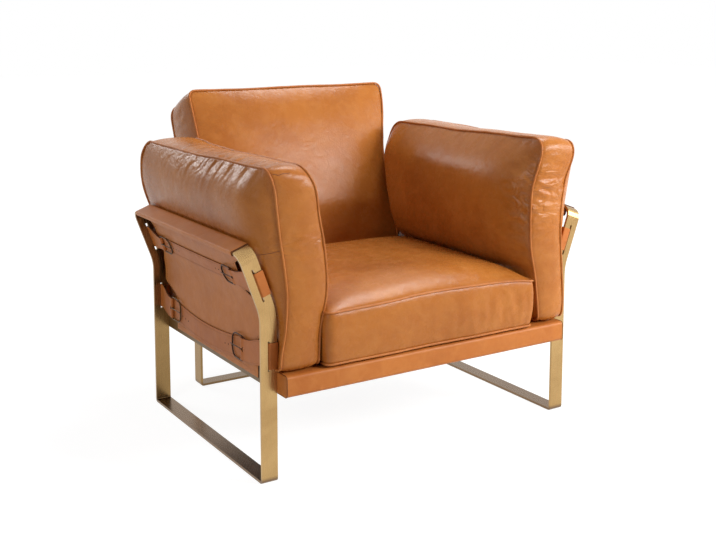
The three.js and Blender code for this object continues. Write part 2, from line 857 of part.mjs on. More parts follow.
// The hollow that a post and its leather loops press into a cushion.
function postNotch( loop, post ) {

	const outer = leather + 2 * clearance;
	const inner = - barWidth / 2 - outer;
	const far = loopSpread + outer;
	const section = [
		[ inner, - outer ],
		[ 0, - outer ],
		[ barWidth, - outer ],
		[ barWidth, far ],
		[ 0, far ],
		[ inner, barThickness + 2 * outer ],
	];
	const heights = [ baseUnderside, ...leanSteps, loopRise ];
	return loft( heights.map( ( up ) => section.map( ( [ out, inward ] ) => atPost( loop, post, out, inward, up ) ) ) );

}

function seat() {

	const { sideInset, front, backGap, edgeHeight, frontArch, crown, crownPower, cornerRadius, drawnIn } = seatCushion;
	const halfWidth = armMiddle - sideInset;
	const back = backMiddle + backCushion.front - backGap;
	const reach = boxingCrown;
	const low = [ - halfWidth + reach, front + reach ];
	const high = [ halfWidth - reach, back - reach ];
	const bottom = cushionFloor + weltRadius / 2;
	const arch = ( p ) => frontArch * ( 1 - ( p / halfWidth ) ** 2 );
	return cushion( {
		outline: cushionOutline( { low, high, radius: cornerRadius, drawnIn } ),
		centre: [ 0, ( front + back ) / 2 ],
		welt: ( face, p ) => face > 0 ? edgeHeight + arch( p ) : bottom,
		crown: ( face, p ) => face > 0 ? edgeHeight + arch( p ) + crown : cushionFloor,
		power: crownPower,
		place: ( p, q, r ) => new THREE.Vector3( p, q, r ),
	} );

}

function arm( side ) {

	const { front, top, thickness, crownPower, cornerRadius, drawnIn, flattening } = armCushion;
	const bottom = cushionFloor + boxingCrown;
	const low = [ front + boxingCrown, bottom ];
	const high = [ armBack - boxingCrown, top - boxingCrown ];
	const outerWelt = through( armOuterWeltShares );
	const innerWelt = through( armInnerWeltShares );
	const outerCrown = through( armOuterCrownShares );
	const innerCrown = through( armInnerCrownShares );
	const rail = lean( - barWidth / 2, loopRise );
	const height = ( q ) => heightShare( q, low[ 1 ], rail.up, high[ 1 ], armRailShare );
	const outer = ( share ) => lerp( armMiddle, sideMiddle + rail.out, share );
	const inner = ( share ) => armMiddle + share * thickness;
	const welt = ( face, p, q ) => face > 0 ? outer( outerWelt( height( q ) ) ) : inner( innerWelt( height( q ) ) );
	// the inner face stays flat beside the back cushion, and over it, so that the cushion lifts out
	const backFace = backMiddle + backCushion.front;
	const clearOfBack = ( p ) => 1 - smoothstep( p, backFace - flattening, backFace );
	const geometry = cushion( {
		outline: cushionOutline( { low, high, radius: cornerRadius, drawnIn } ),
		centre: [ ( front + armBack ) / 2, ( bottom + top ) / 2 ],
		welt,
		crown: ( face, p, q ) => face > 0
			? outer( outerCrown( height( q ) ) )
			: lerp( welt( face, p, q ), inner( innerCrown( height( q ) ) ), clearOfBack( p ) ),
		power: crownPower,
		place: ( p, q, r ) => new THREE.Vector3( side * r, p, q ),
	} );
	const loop = side < 0 ? loops.left : loops.right;
	return cut( geometry, [ postNotch( loop, 'front' ), postNotch( loop, 'rear' ) ] );

}

function back() {

	const { widening, widenStart, widenEnd, top, front, rear, crown, crownPower, cornerRadius, drawnIn } = backCushion;
	const lowHalfWidth = backLoopLength / 2 - barThickness;
	const halfWidth = lowHalfWidth + widening;
	const bottom = cushionFloor + boxingCrown;
	const low = [ - halfWidth + boxingCrown, bottom ];
	const high = [ halfWidth - boxingCrown, top - boxingCrown ];
	const rearShape = through( backRearShares );
	const height = ( q ) => heightShare( q, low[ 1 ], loopRise, high[ 1 ], backRailShare );
	const rearFace = ( q ) => rear + ( rear - front ) * rearShape( height( q ) );
	const frontCrown = ( q ) => front - crown * smoothstep( q, seatCushion.edgeHeight, seatCushion.edgeHeight + 2 * crown );
	const narrow = ( q ) => lerp( lowHalfWidth / halfWidth, 1, smoothstep( q, loopRise + widenStart, loopRise + widenEnd ) );
	const loop = loops.back;
	const geometry = cushion( {
		outline: cushionOutline( { low, high, radius: cornerRadius, drawnIn } ),
		centre: [ 0, ( bottom + top ) / 2 ],
		welt: ( face, p, q ) => face > 0 ? rearFace( q ) : front,
		crown: ( face, p, q ) => face > 0 ? rearFace( q ) : frontCrown( q ),
		power: crownPower,
		place: ( p, q, r ) => onLoop( loop, r, loop.length / 2 + p * narrow( q ), q ),
	} );
	return cut( geometry, [ postNotch( loop, 'front' ), postNotch( loop, 'rear' ) ] );

}

// Assembly

const assembly = new THREE.Group();
assembly.position.y = - middleDepth;

function add( name, geometry, material ) {

	const mesh = new THREE.Mesh( geometry, material );
	mesh.name = name;
	assembly.add( mesh );

}

for ( const [ name, loop ] of Object.entries( loops ) ) {

	add( `${ name }_loop_frame`, loopFrame( loop ), finishes.brass );
	add( `${ name }_sling`, sling( loop ), finishes.hide );

	for ( const [ level, lace ] of [ [ 'upper', upperLace ], [ 'lower', lowerLace ] ] ) {

		add( `${ name }_${ level }_strap`, longStrap( loop, lace ), finishes.hide );

		for ( const post of [ 'front', 'rear' ] ) {

			const ends = { front: 'left', rear: 'right' };
			const place = `${ name }_${ level }_${ name === 'back' ? ends[ post ] : post }`;
			add( `${ place }_post_loop`, postLoop( loop, post, lace ), finishes.hide );
			add( `${ place }_buckle`, buckle( loop, post, lace ), finishes.darkBrass );
			add( `${ place }_tongue`, tongue( loop, post, lace ), finishes.darkBrass );

		}

	}

}

add( 'front_rail', frontRail(), finishes.hide );
add( 'left_side_rail', sideRail( - 1 ), finishes.brass );
add( 'right_side_rail', sideRail( 1 ), finishes.brass );
add( 'rear_rail', rearRail(), finishes.brass );
add( 'deck_frame', deckFrame(), finishes.timber );
add( 'seat_webbing', webbing(), finishes.webbing );
add( 'seat_cushion', seat(), finishes.leather );
add( 'left_arm_cushion', arm( - 1 ), finishes.leather );
add( 'right_arm_cushion', arm( 1 ), finishes.leather );
add( 'back_cushion', back(), finishes.leather );

const chair = new THREE.Group();
chair.add( assembly );

export default chair;
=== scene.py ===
import json
import math

import bmesh
import bpy
import numpy as np
from mathutils import Matrix, Vector, kdtree
from mathutils.bvhtree import BVHTree


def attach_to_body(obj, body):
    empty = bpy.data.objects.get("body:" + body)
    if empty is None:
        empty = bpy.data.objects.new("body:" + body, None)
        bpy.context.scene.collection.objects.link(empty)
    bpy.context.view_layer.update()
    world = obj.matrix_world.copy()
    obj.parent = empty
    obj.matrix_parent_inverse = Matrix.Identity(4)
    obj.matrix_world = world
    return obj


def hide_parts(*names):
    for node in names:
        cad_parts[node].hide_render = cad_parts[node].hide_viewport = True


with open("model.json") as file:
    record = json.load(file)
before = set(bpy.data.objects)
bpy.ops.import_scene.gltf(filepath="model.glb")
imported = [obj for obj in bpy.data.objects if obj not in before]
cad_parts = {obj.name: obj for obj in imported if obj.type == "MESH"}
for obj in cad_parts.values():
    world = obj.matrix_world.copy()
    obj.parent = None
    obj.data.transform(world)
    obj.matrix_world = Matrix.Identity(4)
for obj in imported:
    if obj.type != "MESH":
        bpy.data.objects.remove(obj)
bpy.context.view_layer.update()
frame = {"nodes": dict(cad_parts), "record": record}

scene = bpy.context.scene
scene.view_settings.view_transform = "Standard"
MM = 0.001

# Camera: the photograph's frame is 716 by 540 pixels

PHOTO_WIDTH, PHOTO_HEIGHT = 716, 540
FOCAL_PX = 1092.1
HORIZON_PX = 150.0
CAMERA_AT = Vector((-1442.1, -2359.8, 1007.7)) * MM
CAMERA_YAW, CAMERA_PITCH, CAMERA_ROLL = (math.radians(a) for a in (-32.30, 7.34, 0.035))


def add_camera():
    data = bpy.data.cameras.new("camera")
    camera = bpy.data.objects.new("camera", data)
    scene.collection.objects.link(camera)
    data.sensor_width = 36.0
    data.lens = FOCAL_PX / PHOTO_WIDTH * data.sensor_width
    data.shift_y = (HORIZON_PX - PHOTO_HEIGHT / 2) / PHOTO_WIDTH
    data.clip_start = 0.05
    data.clip_end = 60.0
    camera.location = CAMERA_AT
    turn = Matrix.Rotation(CAMERA_YAW, 3, "Z") @ Matrix.Rotation(math.pi / 2 - CAMERA_PITCH, 3, "X")
    camera.rotation_euler = (turn @ Matrix.Rotation(CAMERA_ROLL, 3, "Z")).to_euler()
    scene.camera = camera


add_camera()

# Node trees

WHITE = (1.0, 1.0, 1.0, 1.0)


class Nodes:
    """The node tree of a material or a world: each call adds a node and links its inputs."""

    def __init__(self, owner, empty=False):
        owner.use_nodes = True
        self.owner = owner
        self.tree = owner.node_tree
        if empty:
            self.tree.nodes.clear()
        self.shader = self.tree.nodes.get("Principled BSDF")

    def add(self, kind, links=None, **settings):
        node = self.tree.nodes.new("ShaderNode" + kind)
        for key, value in settings.items():
            setattr(node, key, value)
        for socket, value in (links or {}).items():
            self.feed(node.inputs[socket], value)
        return node

    def feed(self, socket, value):
        if isinstance(value, bpy.types.NodeSocket):
            self.tree.links.new(value, socket)
        else:
            socket.default_value = value

    def set(self, **values):
        for key, value in values.items():
            self.feed(self.shader.inputs[key.replace("_", " ")], value)

    def place(self, scale=(1.0, 1.0, 1.0)):
        coordinates = self.add("TexCoord").outputs["Object"]
        return self.add("Mapping", {"Vector": coordinates, "Scale": scale}).outputs["Vector"]

    def noise(self, scale, detail=3.0, roughness=0.55, distortion=0.0, stretch=(1.0, 1.0, 1.0)):
        node = self.add("TexNoise", {"Vector": self.place(stretch), "Scale": scale, "Detail": detail,
                                     "Roughness": roughness, "Distortion": distortion})
        return node.outputs["Fac"]

    def between(self, value, low, high, start=0.3, end=0.7, **settings):
        node = self.add("MapRange", {"Value": value, "From Min": start, "From Max": end,
                                     "To Min": low, "To Max": high}, **settings)
        return node.outputs["Result"]

    def mix(self, share, a, b):
        return self.add("Mix", {"Factor": share, "A": a, "B": b}, data_type="RGBA").outputs["Result"]

    def attribute(self, name):
        return self.add("Attribute", attribute_name=name).outputs["Fac"]

    def math(self, operation, a, b=0.0):
        return self.add("Math", {0: a, 1: b}, operation=operation).outputs[0]

    def bump(self, height, strength, distance, normal=None):
        links = {"Height": height, "Strength": strength, "Distance": distance}
        if normal is not None:
            links["Normal"] = normal
        return self.add("Bump", links).outputs["Normal"]

    def finish(self, kind, unseen, seen):
        """Ends the tree with one shader for the light given off, and another for what the camera sees,
        directly, in mirror-like reflections and through glass."""
        rays = self.add("LightPath").outputs
        direct = self.math("MAXIMUM", rays["Is Camera Ray"], rays["Is Glossy Ray"])
        direct = self.math("MAXIMUM", direct, rays["Is Transmission Ray"])
        mix = self.add("MixShader", {"Fac": direct, 1: unseen.outputs[0], 2: seen.outputs[0]})
        self.add("Output" + kind, {"Surface": mix.outputs["Shader"]})


# Light: a soft studio with a white floor and background

LAMPS_FACE = Vector((0.0, 0.0, 0.45))


def add_lamp(name, azimuth, elevation, distance, size, power):
    """A square lamp that faces the object from a direction in degrees."""
    turn, rise = math.radians(azimuth), math.radians(elevation)
    away = Vector((math.cos(rise) * math.cos(turn), math.cos(rise) * math.sin(turn), math.sin(rise)))
    data = bpy.data.lights.new(name, "AREA")
    data.shape = "RECTANGLE"
    data.size = data.size_y = size
    data.energy = power
    lamp = bpy.data.objects.new(name, data)
    lamp.location = LAMPS_FACE + distance * away
    lamp.rotation_euler = (LAMPS_FACE - lamp.location).to_track_quat("-Z", "Y").to_euler()
    scene.collection.objects.link(lamp)


def add_world(strength):
    scene.world = bpy.data.worlds.new("studio")
    n = Nodes(scene.world, empty=True)
    fill = n.add("Background", {"Color": (1.0, 0.99, 0.98, 1.0), "Strength": strength})
    white = n.add("Background", {"Color": WHITE, "Strength": 1.0})
    n.finish("World", fill, white)


def add_floor(reach=14.0):
    mesh = bpy.data.meshes.new("floor")
    corners = [(-reach, -reach, 0), (reach, -reach, 0), (reach, reach, 0), (-reach, reach, 0)]
    mesh.from_pydata(corners, [], [(0, 1, 2, 3)])
    floor = bpy.data.objects.new("floor", mesh)
    floor.location.z = -0.0004
    scene.collection.objects.link(floor)
    mesh.materials.append(bpy.data.materials.new("floor_white"))
    n = Nodes(mesh.materials[0], empty=True)
    diffuse = n.add("BsdfDiffuse", {"Color": (0.8, 0.8, 0.8, 1.0)})
    faint = n.add("BsdfDiffuse", {"Color": (0.25, 0.25, 0.25, 1.0)})
    away = n.add("VectorMath", {0: n.add("TexCoord").outputs["Object"]}, operation="LENGTH").outputs["Value"]
    fade = n.between(away, 0.9, 1.0, 0.6, 2.4, interpolation_type="SMOOTHSTEP")
    glow = n.add("Emission", {"Color": WHITE, "Strength": fade})
    seen = n.add("AddShader", {0: faint.outputs["BSDF"], 1: glow.outputs["Emission"]})
    n.finish("Material", diffuse, seen)


add_world(0.07)
add_lamp("key", 304, 23, 3.0, 0.8, 74.0)
add_lamp("right", 330, 14, 3.0, 1.1, 32.0)
add_lamp("overhead", 14, 66, 2.9, 1.1, 52.0)
add_lamp("back_left", 114, 28, 3.0, 0.9, 19.0)
add_lamp("front_left", 204, 26, 3.0, 1.1, 20.0)
add_floor()

# Materials

def srgb(r, g, b):
    def linear(c):
        c /= 255.0
        return c / 12.92 if c <= 0.04045 else ((c + 0.055) / 1.055) ** 2.4
    return (linear(r), linear(g), linear(b), 1.0)


def new_material(name):
    return Nodes(bpy.data.materials.new(name))


def leather(name, tone, deep, pale, grain=1.0, gloss=0.24, coat=0.0):
    tone, deep, pale = srgb(*tone), srgb(*deep), srgb(*pale)
    n = new_material(name)
    clouds = n.noise(5.0, 4.0, 0.6, 0.4)
    patches = n.noise(21.0, 4.0, 0.65, 0.8)
    mottle = n.noise(64.0, 3.0, 0.6)
    base = n.mix(n.between(clouds, 0.0, 0.75), tone, deep)
    base = n.mix(n.between(patches, 0.0, 0.35, 0.42, 0.75), base, pale)
    base = n.mix(n.between(mottle, 0.0, 0.25, 0.4, 0.8), base, deep)
    # painted shade: the leather darkens close to the welts, where they shade the cover
    seam = n.attribute("seam")
    base = n.mix(n.math("MULTIPLY", seam, 0.45), base, deep)
    cells = n.add("TexVoronoi", {"Vector": n.place(), "Scale": 560.0}, feature="DISTANCE_TO_EDGE")
    pores = n.between(cells.outputs["Distance"], 0.0, 1.0, 0.0, 0.16)
    creases = n.noise(95.0, 4.0, 0.7, 1.6)
    relief = n.bump(pores, 0.12 * grain, 0.0005)
    relief = n.bump(creases, 0.13 * grain, 0.0016, relief)
    relief = n.bump(n.noise(30.0, 3.0, 0.6, 0.8), 0.22 * grain, 0.004, relief)
    folds = n.math("ABSOLUTE", n.math("SUBTRACT", n.noise(25.0, 1.6, 0.5, 0.5, (0.55, 1.2, 1.4)), 0.5))
    relief = n.bump(folds, n.attribute("crumple"), 0.016, relief)
    rough = n.between(n.noise(38.0, 4.0, 0.7), gloss - 0.03, gloss + 0.09)
    n.set(Base_Color=base, Roughness=rough, Normal=relief, Coat_Weight=coat)
    n.shader.inputs["Coat Roughness"].default_value = 0.34
    n.shader.inputs["Coat IOR"].default_value = 1.35
    n.shader.inputs["Specular IOR Level"].default_value = 0.21
    return n.owner


def brass(name, along, tone=(194, 160, 108), worn=(158, 124, 78), rough=0.36):
    """Brushed metal, with painted shade: darker at the floor and toward the back."""
    tone, worn = srgb(*tone), srgb(*worn)
    n = new_material(name)
    strokes = n.noise(1.0, 3.0, 0.6, 0.0, tuple(14.0 if axis == along else 900.0 for axis in "XYZ"))
    cloud = n.noise(9.0, 4.0, 0.65, 0.5)
    base = n.mix(n.between(cloud, 0.0, 0.6), tone, worn)
    base = n.mix(n.between(strokes, 0.0, 0.25), base, worn)
    at = n.add("SeparateXYZ", {0: n.place()}).outputs
    # painted shade: the floor bars, below about 6 mm, turn dark grey-brown, as if reflecting the chair's dark
    # underside
    base = n.mix(n.between(at["Z"], 0.85, 0.0, 0.0062, 0.014), base, srgb(112, 90, 72))
    # painted shade: the rear half of the frame darkens toward the back
    base = n.mix(n.between(at["Y"], 0.0, 0.55, 0.0, 0.2), base, srgb(118, 92, 56))
    n.set(Base_Color=base, Metallic=1.0, Roughness=n.between(strokes, rough - 0.05, rough + 0.1),
          Normal=n.bump(strokes, 0.12, 0.0003))
    return n.owner


def timber(name):
    n = new_material(name)
    rings = n.add("TexWave", {"Vector": n.place((1.0, 6.0, 1.0)), "Scale": 9.0, "Distortion": 6.0,
                              "Detail": 3.0, "Detail Scale": 2.0})
    fibre = n.noise(1.0, 3.0, 0.6, 0.0, (20.0, 700.0, 700.0))
    base = n.mix(rings.outputs["Fac"], srgb(199, 168, 124), srgb(172, 138, 96))
    base = n.mix(n.between(fibre, 0.0, 0.4), base, srgb(140, 108, 72))
    n.set(Base_Color=base, Roughness=0.72, Normal=n.bump(fibre, 0.2, 0.0006))
    return n.owner


def woven(name):
    n = new_material(name)
    wave = {"Vector": n.place(), "Scale": 160.0, "Distortion": 0.6}
    ribs, cross = (n.add("TexWave", wave, bands_direction=axis) for axis in "XY")
    weave = n.math("MULTIPLY", ribs.outputs["Fac"], cross.outputs["Fac"])
    base = n.mix(weave, srgb(30, 28, 27), srgb(62, 58, 54))
    n.set(Base_Color=base, Roughness=0.86, Normal=n.bump(weave, 0.5, 0.0008))
    return n.owner


CUSHION = leather("cushion_leather", (180, 110, 45), (151, 84, 30), (196, 132, 70))
PIPING = leather("piping_leather", (186, 112, 50), (154, 84, 34), (202, 136, 78), 0.5, 0.42, 0.04)
HIDE = leather("sling_hide", (198, 120, 54), (172, 98, 42), (208, 136, 72), 0.7, 0.42)
RAIL_HIDE = leather("rail_hide", (190, 114, 50), (162, 90, 36), (204, 134, 72), 0.7, 0.4)
EDGE = leather("leather_edge", (84, 46, 24), (62, 34, 18), (104, 60, 34), 0.5, 0.5)
STRAP_HIDE = leather("strap_hide", (190, 110, 50), (162, 90, 38), (202, 130, 70), 0.6, 0.42)
THREAD = leather("thread", (150, 96, 60), (120, 74, 44), (170, 116, 78), 0.2, 0.6)
HOLE = leather("hole_shadow", (34, 20, 12), (24, 14, 9), (44, 26, 16), 0.2, 0.8)
SEAM = leather("seam_line", (118, 66, 34), (96, 52, 26), (134, 80, 44), 0.3, 0.5)
BRASS = brass("frame_brass", "Z", rough=0.25)
# painted shade: the rails' brass is a darker, greyer copy of the frame's, for rails that sit in shade under
# the seat
SHADED_RAIL_BRASS = brass("rail_brass_painted_shade", "Y", (122, 102, 78), (98, 80, 60), 0.4)
DARK_BRASS = brass("dark_brass", "Z", (74, 48, 31), (46, 29, 18), 0.36)
TIMBER = timber("deck_timber")
WEBBING = woven("seat_webbing")

by_slot = {"brass": BRASS, "dark_brass": DARK_BRASS, "leather": CUSHION, "hide": HIDE,
           "timber": TIMBER, "webbing": WEBBING}
slots = {s["node"]: s["material_slot"] for s in frame["record"]["subparts"]}
for node, obj in frame["nodes"].items():
    obj.data.materials.clear()
    obj.data.materials.append(by_slot[slots[node]])
# painted shade: the seat's rails take the darker copy of the brass
for node in ("left_side_rail", "right_side_rail", "rear_rail"):
    frame["nodes"][node].data.materials[0] = SHADED_RAIL_BRASS


def rounded(obj, width, angle):
    """Small rounded edges where faces meet at more than an angle in degrees."""
    rounding = obj.modifiers.new("rounding", "BEVEL")
    rounding.width = width * MM
    rounding.segments = 2
    rounding.limit_method = "ANGLE"
    rounding.angle_limit = math.radians(angle)


for node, obj in frame["nodes"].items():
    if node.endswith("_loop_frame"):
        rounded(obj, 0.6, 30)
        obj.data.polygons.foreach_set("use_smooth", [True] * len(obj.data.polygons))

# Places: millimetres, laid out from the front faces of the front posts

MIDDLE_DEPTH = 373.5
BAR_WIDTH, BAR_THICKNESS = 38.0, 6.0
FRAME_WIDTH, SIDE_LENGTH, BACK_LENGTH = 855.0, 597.0, 566.0
LOOP_RISE = 523.0
LEAN_ANGLE, LEAN_START, LEAN_RADIUS = math.radians(20.3), 349.0, 130.0
SIDE_MIDDLE = (FRAME_WIDTH - BAR_WIDTH) / 2
BACK_MIDDLE = 656.3
BASE_TOP = 243.0
LEATHER, SLING_LEATHER, CLEARANCE = 2.0, 2.2, 0.3
SLING_PLANE = -5.5


def metres(points):
    return (np.asarray(points, float) - (0.0, MIDDLE_DEPTH, 0.0)) * MM


def lean(out, up):
    """Where a place out from the middle of the bar and up the post comes to, as (out, height)."""
    angle = np.clip((up - LEAN_START) / LEAN_RADIUS, 0.0, LEAN_ANGLE)
    beyond = np.maximum(up - LEAN_START - LEAN_RADIUS * LEAN_ANGLE, 0.0)
    turn = LEAN_RADIUS - out
    return (LEAN_RADIUS - turn * np.cos(angle) + beyond * np.sin(angle),
            np.minimum(up, LEAN_START) + turn * np.sin(angle) + beyond * np.cos(angle))


LOOPS = {
    "left": {"start": (-SIDE_MIDDLE, 0.0), "outward": (-1.0, 0.0), "along": (0.0, 1.0), "length": SIDE_LENGTH,
             "reaches": {"front": 126.0, "rear": 78.0}},
    "right": {"start": (SIDE_MIDDLE, 0.0), "outward": (1.0, 0.0), "along": (0.0, 1.0), "length": SIDE_LENGTH,
              "reaches": {"front": 126.0, "rear": 78.0}},
    "back": {"start": (-BACK_LENGTH / 2, BACK_MIDDLE), "outward": (0.0, 1.0), "along": (1.0, 0.0),
             "length": BACK_LENGTH, "reaches": {"front": 104.0, "rear": 104.0}},
}


def on_loop(loop, out, along, up):
    out, along, up = np.broadcast_arrays(*(np.asarray(v, float) for v in (out, along, up)))
    leaned, height = lean(out, up)
    x = loop["start"][0] + loop["outward"][0] * leaned + loop["along"][0] * along
    y = loop["start"][1] + loop["outward"][1] * leaned + loop["along"][1] * along
    return np.stack([x, y, height], axis=-1)


def smooth(value, start, end):
    t = np.clip((np.asarray(value, float) - start) / (end - start), 0.0, 1.0)
    return t * t * (3 - 2 * t)


def lerp(a, b, t):
    return a + (b - a) * t


def through(pairs):
    """A smooth curve through (place, value) pairs."""
    places, values = np.array(sorted(pairs), float).T
    slopes = np.gradient(values, places)
    fine = np.linspace(places[0], places[-1], 600)
    k = np.clip(np.searchsorted(places, fine) - 1, 0, len(places) - 2)
    width = places[k + 1] - places[k]
    t = (fine - places[k]) / width
    curve = ((2 * t ** 3 - 3 * t ** 2 + 1) * values[k] + (t ** 3 - 2 * t ** 2 + t) * width * slopes[k]
             + (3 * t ** 2 - 2 * t ** 3) * values[k + 1] + (t ** 3 - t ** 2) * width * slopes[k + 1])
    return lambda x: np.interp(x, fine, curve)


class Grain:
    """Smooth random values in space, from -1 to 1, always the same for one seed."""

    def __init__(self, seed):
        self.table = np.random.default_rng(seed).uniform(-1.0, 1.0, (32, 32, 32))

    def __call__(self, points, size, octaves=1):
        points = np.asarray(points, float) / size
        total, weight = 0.0, 1.0
        for _ in range(octaves):
            cell = np.floor(points).astype(int)
            t = points - cell
            t = t * t * (3 - 2 * t)
            value = 0.0
            for corner in np.ndindex(2, 2, 2):
                i, j, k = ((cell + corner) % 32).T
                value = value + self.table[i, j, k] * np.abs(1 - np.array(corner) - t).prod(axis=1)
            total = total + weight * value
            weight *= 0.5
            points = points * 2.03 + 7.1
        return total


# Pieces

def attach(obj, body, node=None):
    """Puts a piece on a body, and in the place of a CAD node where one is named."""
    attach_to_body(obj, body)
    if node:
        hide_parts(node)


# Mesh helpers

def new_object(name, points, faces, material, smooth_faces=True):
    mesh = bpy.data.meshes.new(name)
    mesh.from_pydata([tuple(p) for p in metres(points)], [], [tuple(int(i) for i in f) for f in faces])
    mesh.validate()
    mesh.materials.append(material)
    obj = bpy.data.objects.new(name, mesh)
    scene.collection.objects.link(obj)
    bm = bmesh.new()
    bm.from_mesh(mesh)
    bmesh.ops.recalc_face_normals(bm, faces=bm.faces)
    bm.to_mesh(mesh)
    bm.free()
    mesh.polygons.foreach_set("use_smooth", [smooth_faces] * len(mesh.polygons))
    return obj


def coordinates(mesh):
    flat = np.empty(len(mesh.vertices) * 3)
    mesh.vertices.foreach_get("co", flat)
    return flat.reshape(-1, 3) / MM + (0.0, MIDDLE_DEPTH, 0.0)


def set_coordinates(mesh, points):
    mesh.vertices.foreach_set("co", metres(points).ravel())
    mesh.update()


def vertex_normals(mesh):
    flat = np.empty(len(mesh.vertices) * 3)
    mesh.vertex_normals.foreach_get("vector", flat)
    return flat.reshape(-1, 3)


def set_attribute(mesh, name, values):
    layer = mesh.attributes.get(name) or mesh.attributes.new(name, "FLOAT", "POINT")
    layer.data.foreach_set("value", np.asarray(values, float))


def get_attribute(mesh, name):
    values = np.empty(len(mesh.vertices))
    mesh.attributes[name].data.foreach_get("value", values)
    return values


def subdivided(obj):
    """Puts the object's subdivided surface in place of its mesh."""
    modifier = obj.modifiers.new("finer", "SUBSURF")
    modifier.levels = modifier.render_levels = 1
    graph = bpy.context.evaluated_depsgraph_get()
    fine = bpy.data.meshes.new_from_object(
        obj.evaluated_get(graph), preserve_all_data_layers=True, depsgraph=graph)
    obj.modifiers.clear()
    old = obj.data
    obj.data = fine
    bpy.data.meshes.remove(old)


def arc_lengths(line):
    steps = np.linalg.norm(np.diff(line, axis=0), axis=1)
    return np.concatenate([[0.0], np.cumsum(steps)])


def resample(points, count, closed=False):
    points = np.asarray(points, float)
    if closed:
        points = np.vstack([points, points[:1]])
    place = arc_lengths(points)
    wanted = np.linspace(0.0, place[-1], count + 1)
    if closed:
        wanted = wanted[:-1]
    return np.stack([np.interp(wanted, place, points[:, k]) for k in range(points.shape[1])], axis=1)


def band(first, second):
    """Four-cornered faces between two rings of as many corners."""
    return list(zip(first, np.roll(first, -1), np.roll(second, -1), second))


def fan(tip, ring):
    return [(tip, a, b) for a, b in zip(ring, np.roll(ring, -1))]


def grid_faces(index):
    return np.stack([index[:-1, :-1], index[:-1, 1:], index[1:, 1:], index[1:, :-1]], axis=-1).reshape(-1, 4)


def loft(name, rings, material, closed=False):
    """A skin over rings of as many points, closed to a ring itself or shut by a fan at each end."""
    index = np.arange(len(rings) * len(rings[0])).reshape(len(rings), -1)
    points = np.vstack(rings)
    faces = []
    for ring, following in zip(index, index[1:]):
        faces += band(ring, following)
    if closed:
        gaps = [np.linalg.norm(np.roll(rings[0], -k, axis=0) - rings[-1]) for k in range(index.shape[1])]
        faces += band(index[-1], np.roll(index[0], -int(np.argmin(gaps))))
    else:
        points = np.vstack([points, rings[0].mean(axis=0), rings[-1].mean(axis=0)])
        faces += fan(len(points) - 2, index[0][::-1]) + fan(len(points) - 1, index[-1])
    return new_object(name, points, faces, material)


def tube(name, points, radius, material, closed=True, sides=8, least_step=0.01):
    """A round tube along points. One that is nearer than least_step to the point before it is left out."""
    points = np.asarray(points, float)
    distinct = np.concatenate([[True], np.linalg.norm(np.diff(points, axis=0), axis=1) > least_step])
    if closed and np.linalg.norm(points[0] - points[-1]) < least_step:
        distinct[-1] = False
    radii = np.broadcast_to(radius, (len(points),))[distinct]
    points = points[distinct]
    if closed:
        runs = np.roll(points, -1, axis=0) - np.roll(points, 1, axis=0)
    else:
        runs = np.gradient(points, axis=0)
    runs /= np.linalg.norm(runs, axis=1)[:, None]
    side = np.cross(runs[0], (0.3, 0.5, 0.81))
    angles = np.arange(sides) / sides * 2 * np.pi
    rings = []
    for point, run, size in zip(points, runs, radii):
        side = side - run * side.dot(run)
        side /= np.linalg.norm(side)
        up = np.cross(run, side)
        rings.append(point + size * (np.cos(angles)[:, None] * side + np.sin(angles)[:, None] * up))
    return loft(name, rings, material, closed)


# Cushions

def outline_sides(corners, radii, counts, bows):
    """Four runs of points (p, q) round a rounded four-cornered outline, each from the middle of one corner
    to the middle of the next. A bow draws a side in."""
    corners = np.asarray(corners, float)
    sides = []

    def corner_bend(k, start, end):
        before, here, after = corners[k - 1], corners[k], corners[(k + 1) % 4]
        into = here - (here - before) / np.linalg.norm(here - before) * radii[k]
        out_of = here + (after - here) / np.linalg.norm(after - here) * radii[k]
        t = np.linspace(start, end, 9)[:, None]
        return (1 - t) ** 2 * into + 2 * t * (1 - t) * here + t ** 2 * out_of

    for k in range(4):
        path = np.vstack([corner_bend(k, 0.5, 1.0), corner_bend((k + 1) % 4, 0.0, 0.5)])
        run = resample(path, counts[k])
        chord = run[-1] - run[0]
        inward = np.array([-chord[1], chord[0]]) / np.linalg.norm(chord)
        share = np.linspace(0.0, 1.0, counts[k] + 1)
        bow = bows[k](share) if callable(bows[k]) else bows[k] * np.sin(np.pi * share)
        sides.append(run + bow[:, None] * inward)
    return sides


def patch(sides):
    """Coons patch over four sides, as an array [j, i] of (p, q), with its shares u and v."""
    bottom, right, top, left = sides[0], sides[1], sides[2][::-1], sides[3][::-1]
    u = np.linspace(0.0, 1.0, len(bottom))[None, :, None]
    v = np.linspace(0.0, 1.0, len(right))[:, None, None]
    grid = (1 - v) * bottom[None] + v * top[None] + (1 - u) * left[:, None] + u * right[:, None]
    low, high = lerp(bottom[0], bottom[-1], u), lerp(top[0], top[-1], u)
    return grid - lerp(low, high, v), *np.broadcast_arrays(u[..., 0], v[..., 0])


def rim(index):
    """Indices round the edge of a grid, in the order of its four sides."""
    return np.concatenate([index[0, :-1], index[:-1, -1], index[-1, :0:-1], index[:0:-1, 0]])


